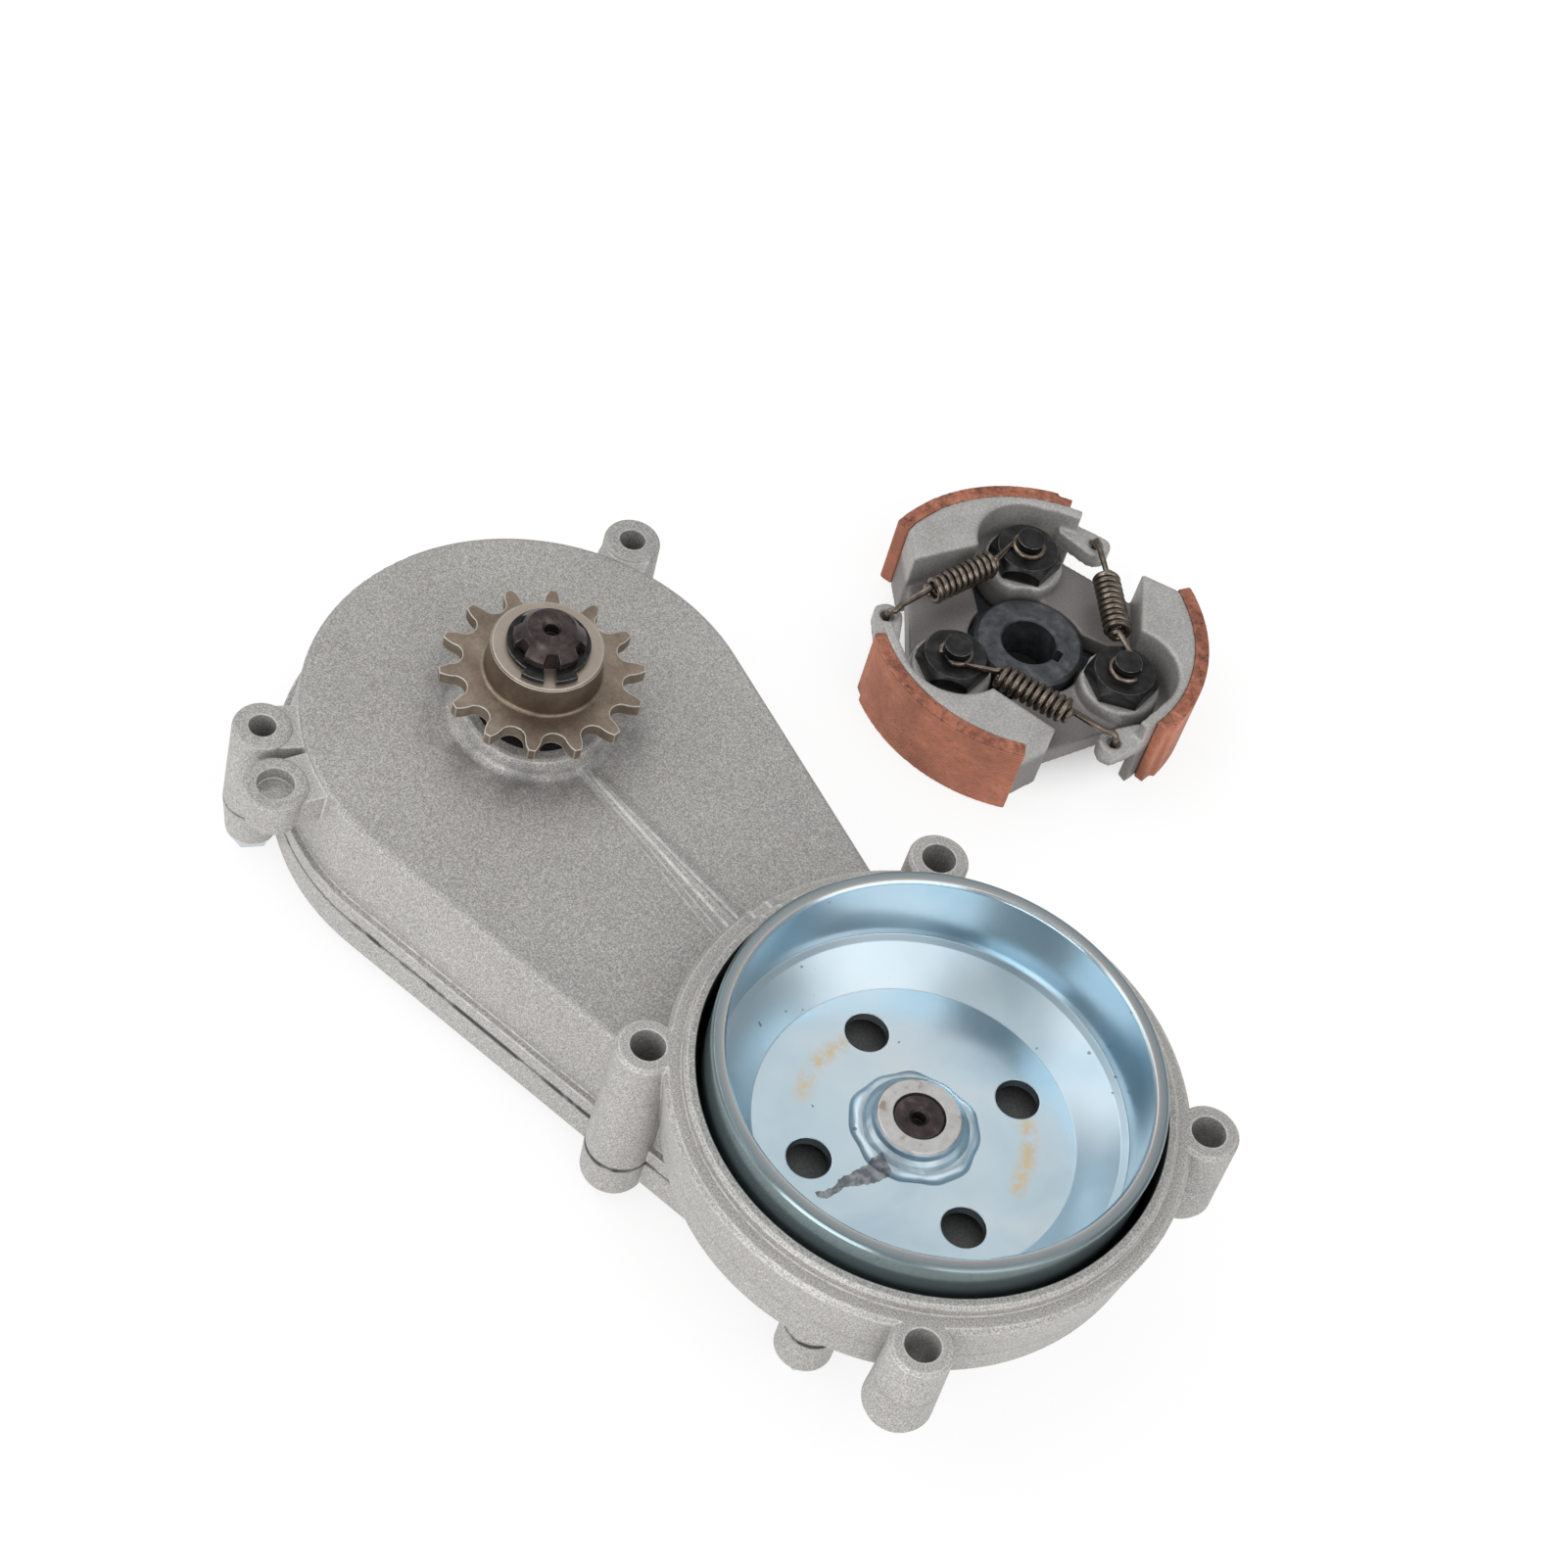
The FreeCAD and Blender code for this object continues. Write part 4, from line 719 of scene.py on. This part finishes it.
def coil_points(post, along, side, lift, reach):
    """Close coil between the two arms, narrower at both ends."""
    coil_from = reach * COIL_START
    coil_to = reach * COIL_END
    total = COIL_TURNS * COIL_STEPS
    points = []
    for i in range(total + 1):
        share = i / total
        a = math.tau * COIL_TURNS * share + math.pi / 2
        ease = min(1.0, share * COIL_WIDENING, (1 - share) * COIL_WIDENING + COIL_LAST_SHARE)
        r = COIL_R * (COIL_NARROWEST + (1 - COIL_NARROWEST) * ease)
        on_line = post + along * (coil_from + (coil_to - coil_from) * share)
        points.append(on_line + side * (r * math.cos(a)) + lift * (r * math.sin(a)))
    return points


def spring_points(bolt):
    """Loop round the bolt's post, arm, close coil, arm, and a hook down through the next shoe's ear."""
    post = polar(BOLT_CIRCLE, 0, POST_Z)
    hook = polar(HOOK_EAR_R, HOOK_EAR_ANGLE + 120, HOOK_EAR_TOP + HOOK_RISE)
    along = (hook - post).normalized()
    reach = (hook - post).length
    side = along.cross(Vector((0, 0, 1))).normalized()
    lift = side.cross(along)
    points = loop_points(post, along) + coil_points(post, along, side, lift, reach)
    past_coil = len(points)
    points.append(post + along * (reach - ARM_END_BACK) + lift * ARM_END_LIFT)
    inward = -hook.xy.normalized()
    for back, rise in HOOK_BENDS:
        points.append(hook + Vector((inward.x * back, inward.y * back, rise)))
    shares = [ARM_SWELL] * len(points)
    for i in range(LOOP_POINTS + SWELL_OVERLAP + 1, past_coil - SWELL_OVERLAP):
        shares[i] = 1.0
    return [on_clutch(bolt, point) for point in points], shares


def make_springs():
    """Three round-wire springs, each from a bolt's post to the next shoe's ear."""
    tones = ((0.11, 0.09, 0.072), (0.20, 0.168, 0.138), (0.34, 0.295, 0.25))
    wire = dark_steel("spring_wire", tones, 0.2, 0.34, 0.92)
    for bolt in range(3):
        number = bolt + 1
        points, shares = spring_points(bolt)
        piece = wire_mesh(f"spring_wire_{number}", points, shares, WIRE_R, wire)
        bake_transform(piece)
        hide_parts(f"shoe_spring_{number}")


def make_weld():
    """Lumpy weld bead where the hub meets the drum floor."""
    places, faces = [], []
    for i in range(WELD_AROUND):
        a = math.tau * i / WELD_AROUND
        swell = sum(height * math.sin(count * a + offset) for height, count, offset in WELD_WAVES)
        bead_r = WELD_R + WELD_SIDE_SHARE * swell
        bead_half = WELD_HALF + WELD_SIDE_SHARE * swell
        bead_rise = WELD_RISE + WELD_TOP_SHARE * swell
        for j in range(WELD_ACROSS):
            b = math.tau * j / WELD_ACROSS
            r = bead_r + bead_half * math.cos(b)
            z = WELD_Z + bead_rise * math.sin(b)
            places.append((r * math.cos(a) * MM, r * math.sin(a) * MM, z * MM))
            here = i * WELD_ACROSS
            beyond = (i + 1) % WELD_AROUND * WELD_ACROSS
            k = (j + 1) % WELD_ACROSS
            faces.append((here + j, beyond + j, beyond + k, here + k))
    mesh = bpy.data.meshes.new("weld_bead")
    mesh.from_pydata(places, [], faces)
    mesh.shade_smooth()
    mesh.materials.append(nodes["drum_hub"].data.materials[0])
    piece = bpy.data.objects.new("weld_bead", mesh)
    bpy.context.scene.collection.objects.link(piece)
    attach(piece, "drum")


def add_fade(tree, distance, fade_mm, low, high):
    """Value that goes from low to high between two distances."""
    fade = tree.nodes.new("ShaderNodeMapRange")
    tree.links.new(distance, fade.inputs["Value"])
    fade.inputs["From Min"].default_value = fade_mm[0] * MM
    fade.inputs["From Max"].default_value = fade_mm[1] * MM
    fade.inputs["To Min"].default_value = low
    fade.inputs["To Max"].default_value = high
    return fade.outputs[0]


def add_math(tree, operation, a, b):
    """Math node on two linked values."""
    node = tree.nodes.new("ShaderNodeMath")
    node.operation = operation
    tree.links.new(a, node.inputs[0])
    tree.links.new(b, node.inputs[1])
    return node.outputs[0]


def make_stage():
    """White floor that keeps the object's shadow, less bright round the clutch, with a painted shadow under
    its bore.
    """
    z = floor_height - FLOOR_GAP * MM
    half = FLOOR_HALF * MM
    corners = [(-half, -half, z), (half, -half, z), (half, half, z), (-half, half, z)]
    mesh = bpy.data.meshes.new("floor")
    mesh.from_pydata(corners, [], [(0, 1, 2, 3)])
    floor = bpy.data.objects.new("floor", mesh)
    bpy.context.scene.collection.objects.link(floor)
    material = bpy.data.materials.new("white_floor")
    material.use_nodes = True
    tree = material.node_tree
    tree.nodes.clear()
    place = tree.nodes.new("ShaderNodeTexCoord")
    apart = tree.nodes.new("ShaderNodeVectorMath")
    apart.operation = "DISTANCE"
    apart.inputs[1].default_value = (CLUTCH_X * MM, CLUTCH_Y * MM, z)
    tree.links.new(place.outputs["Object"], apart.inputs[0])
    matt = tree.nodes.new("ShaderNodeBsdfDiffuse")
    # Painted shadow: the floor is painted near black under the clutch's bore.
    tree.links.new(add_fade(tree, apart.outputs["Value"], BORE_SHADOW_FADE, BORE_SHADOW_GREY, FLOOR_GREY), matt.inputs[0])
    glow = tree.nodes.new("ShaderNodeEmission")
    glow.inputs[1].default_value = GLOW_STRENGTH
    path = tree.nodes.new("ShaderNodeLightPath")
    seen = add_math(tree, "MAXIMUM", path.outputs["Is Camera Ray"], path.outputs["Is Glossy Ray"])
    glow_share = add_fade(tree, apart.outputs["Value"], GLOW_FADE, 0.0, GLOW_SHARE)
    blend = tree.nodes.new("ShaderNodeMixShader")
    tree.links.new(add_math(tree, "MULTIPLY", seen, glow_share), blend.inputs[0])
    tree.links.new(matt.outputs[0], blend.inputs[1])
    tree.links.new(glow.outputs[0], blend.inputs[2])
    output = tree.nodes.new("ShaderNodeOutputMaterial")
    tree.links.new(blend.outputs[0], output.inputs[0])
    floor.data.materials.append(material)


def add_background(tree, strength):
    """White background of this strength."""
    background = tree.nodes.new("ShaderNodeBackground")
    background.inputs[0].default_value = (1, 1, 1, 1)
    background.inputs[1].default_value = strength
    return background


def make_world():
    """World that the camera sees as white, and metal as grey, so that the drum keeps its dark reflections."""
    world = bpy.data.worlds.new("world")
    bpy.context.scene.world = world
    world.use_nodes = True
    tree = world.node_tree
    tree.nodes.clear()
    path = tree.nodes.new("ShaderNodeLightPath")
    strength = tree.nodes.new("ShaderNodeMapRange")
    strength.inputs["To Min"].default_value = WORLD_LIGHT
    strength.inputs["To Max"].default_value = WORLD_IN_METAL
    tree.links.new(path.outputs["Is Glossy Ray"], strength.inputs["Value"])
    soft = add_background(tree, WORLD_LIGHT)
    tree.links.new(strength.outputs[0], soft.inputs[1])
    white = add_background(tree, WORLD_SEEN)
    blend = tree.nodes.new("ShaderNodeMixShader")
    tree.links.new(path.outputs["Is Camera Ray"], blend.inputs[0])
    tree.links.new(soft.outputs[0], blend.inputs[1])
    tree.links.new(white.outputs[0], blend.inputs[2])
    output = tree.nodes.new("ShaderNodeOutputWorld")
    tree.links.new(blend.outputs[0], output.inputs[0])


def add_lamp(name, place, width, power):
    data = bpy.data.lights.new(name, "AREA")
    data.shape = "SQUARE"
    data.size = width
    data.energy = power
    lamp = bpy.data.objects.new(name, data)
    bpy.context.scene.collection.objects.link(lamp)
    lamp.location = place
    toward = Vector(LAMP_AIM) - Vector(place)
    lamp.rotation_euler = toward.to_track_quat("-Z", "Y").to_euler()


make_camera()
make_stage()
make_world()
for name, place, width, power in LAMPS:
    add_lamp(name, place, width, power)
bpy.context.scene.view_settings.view_transform = "Standard"
paint_nodes()
make_springs()
make_weld()
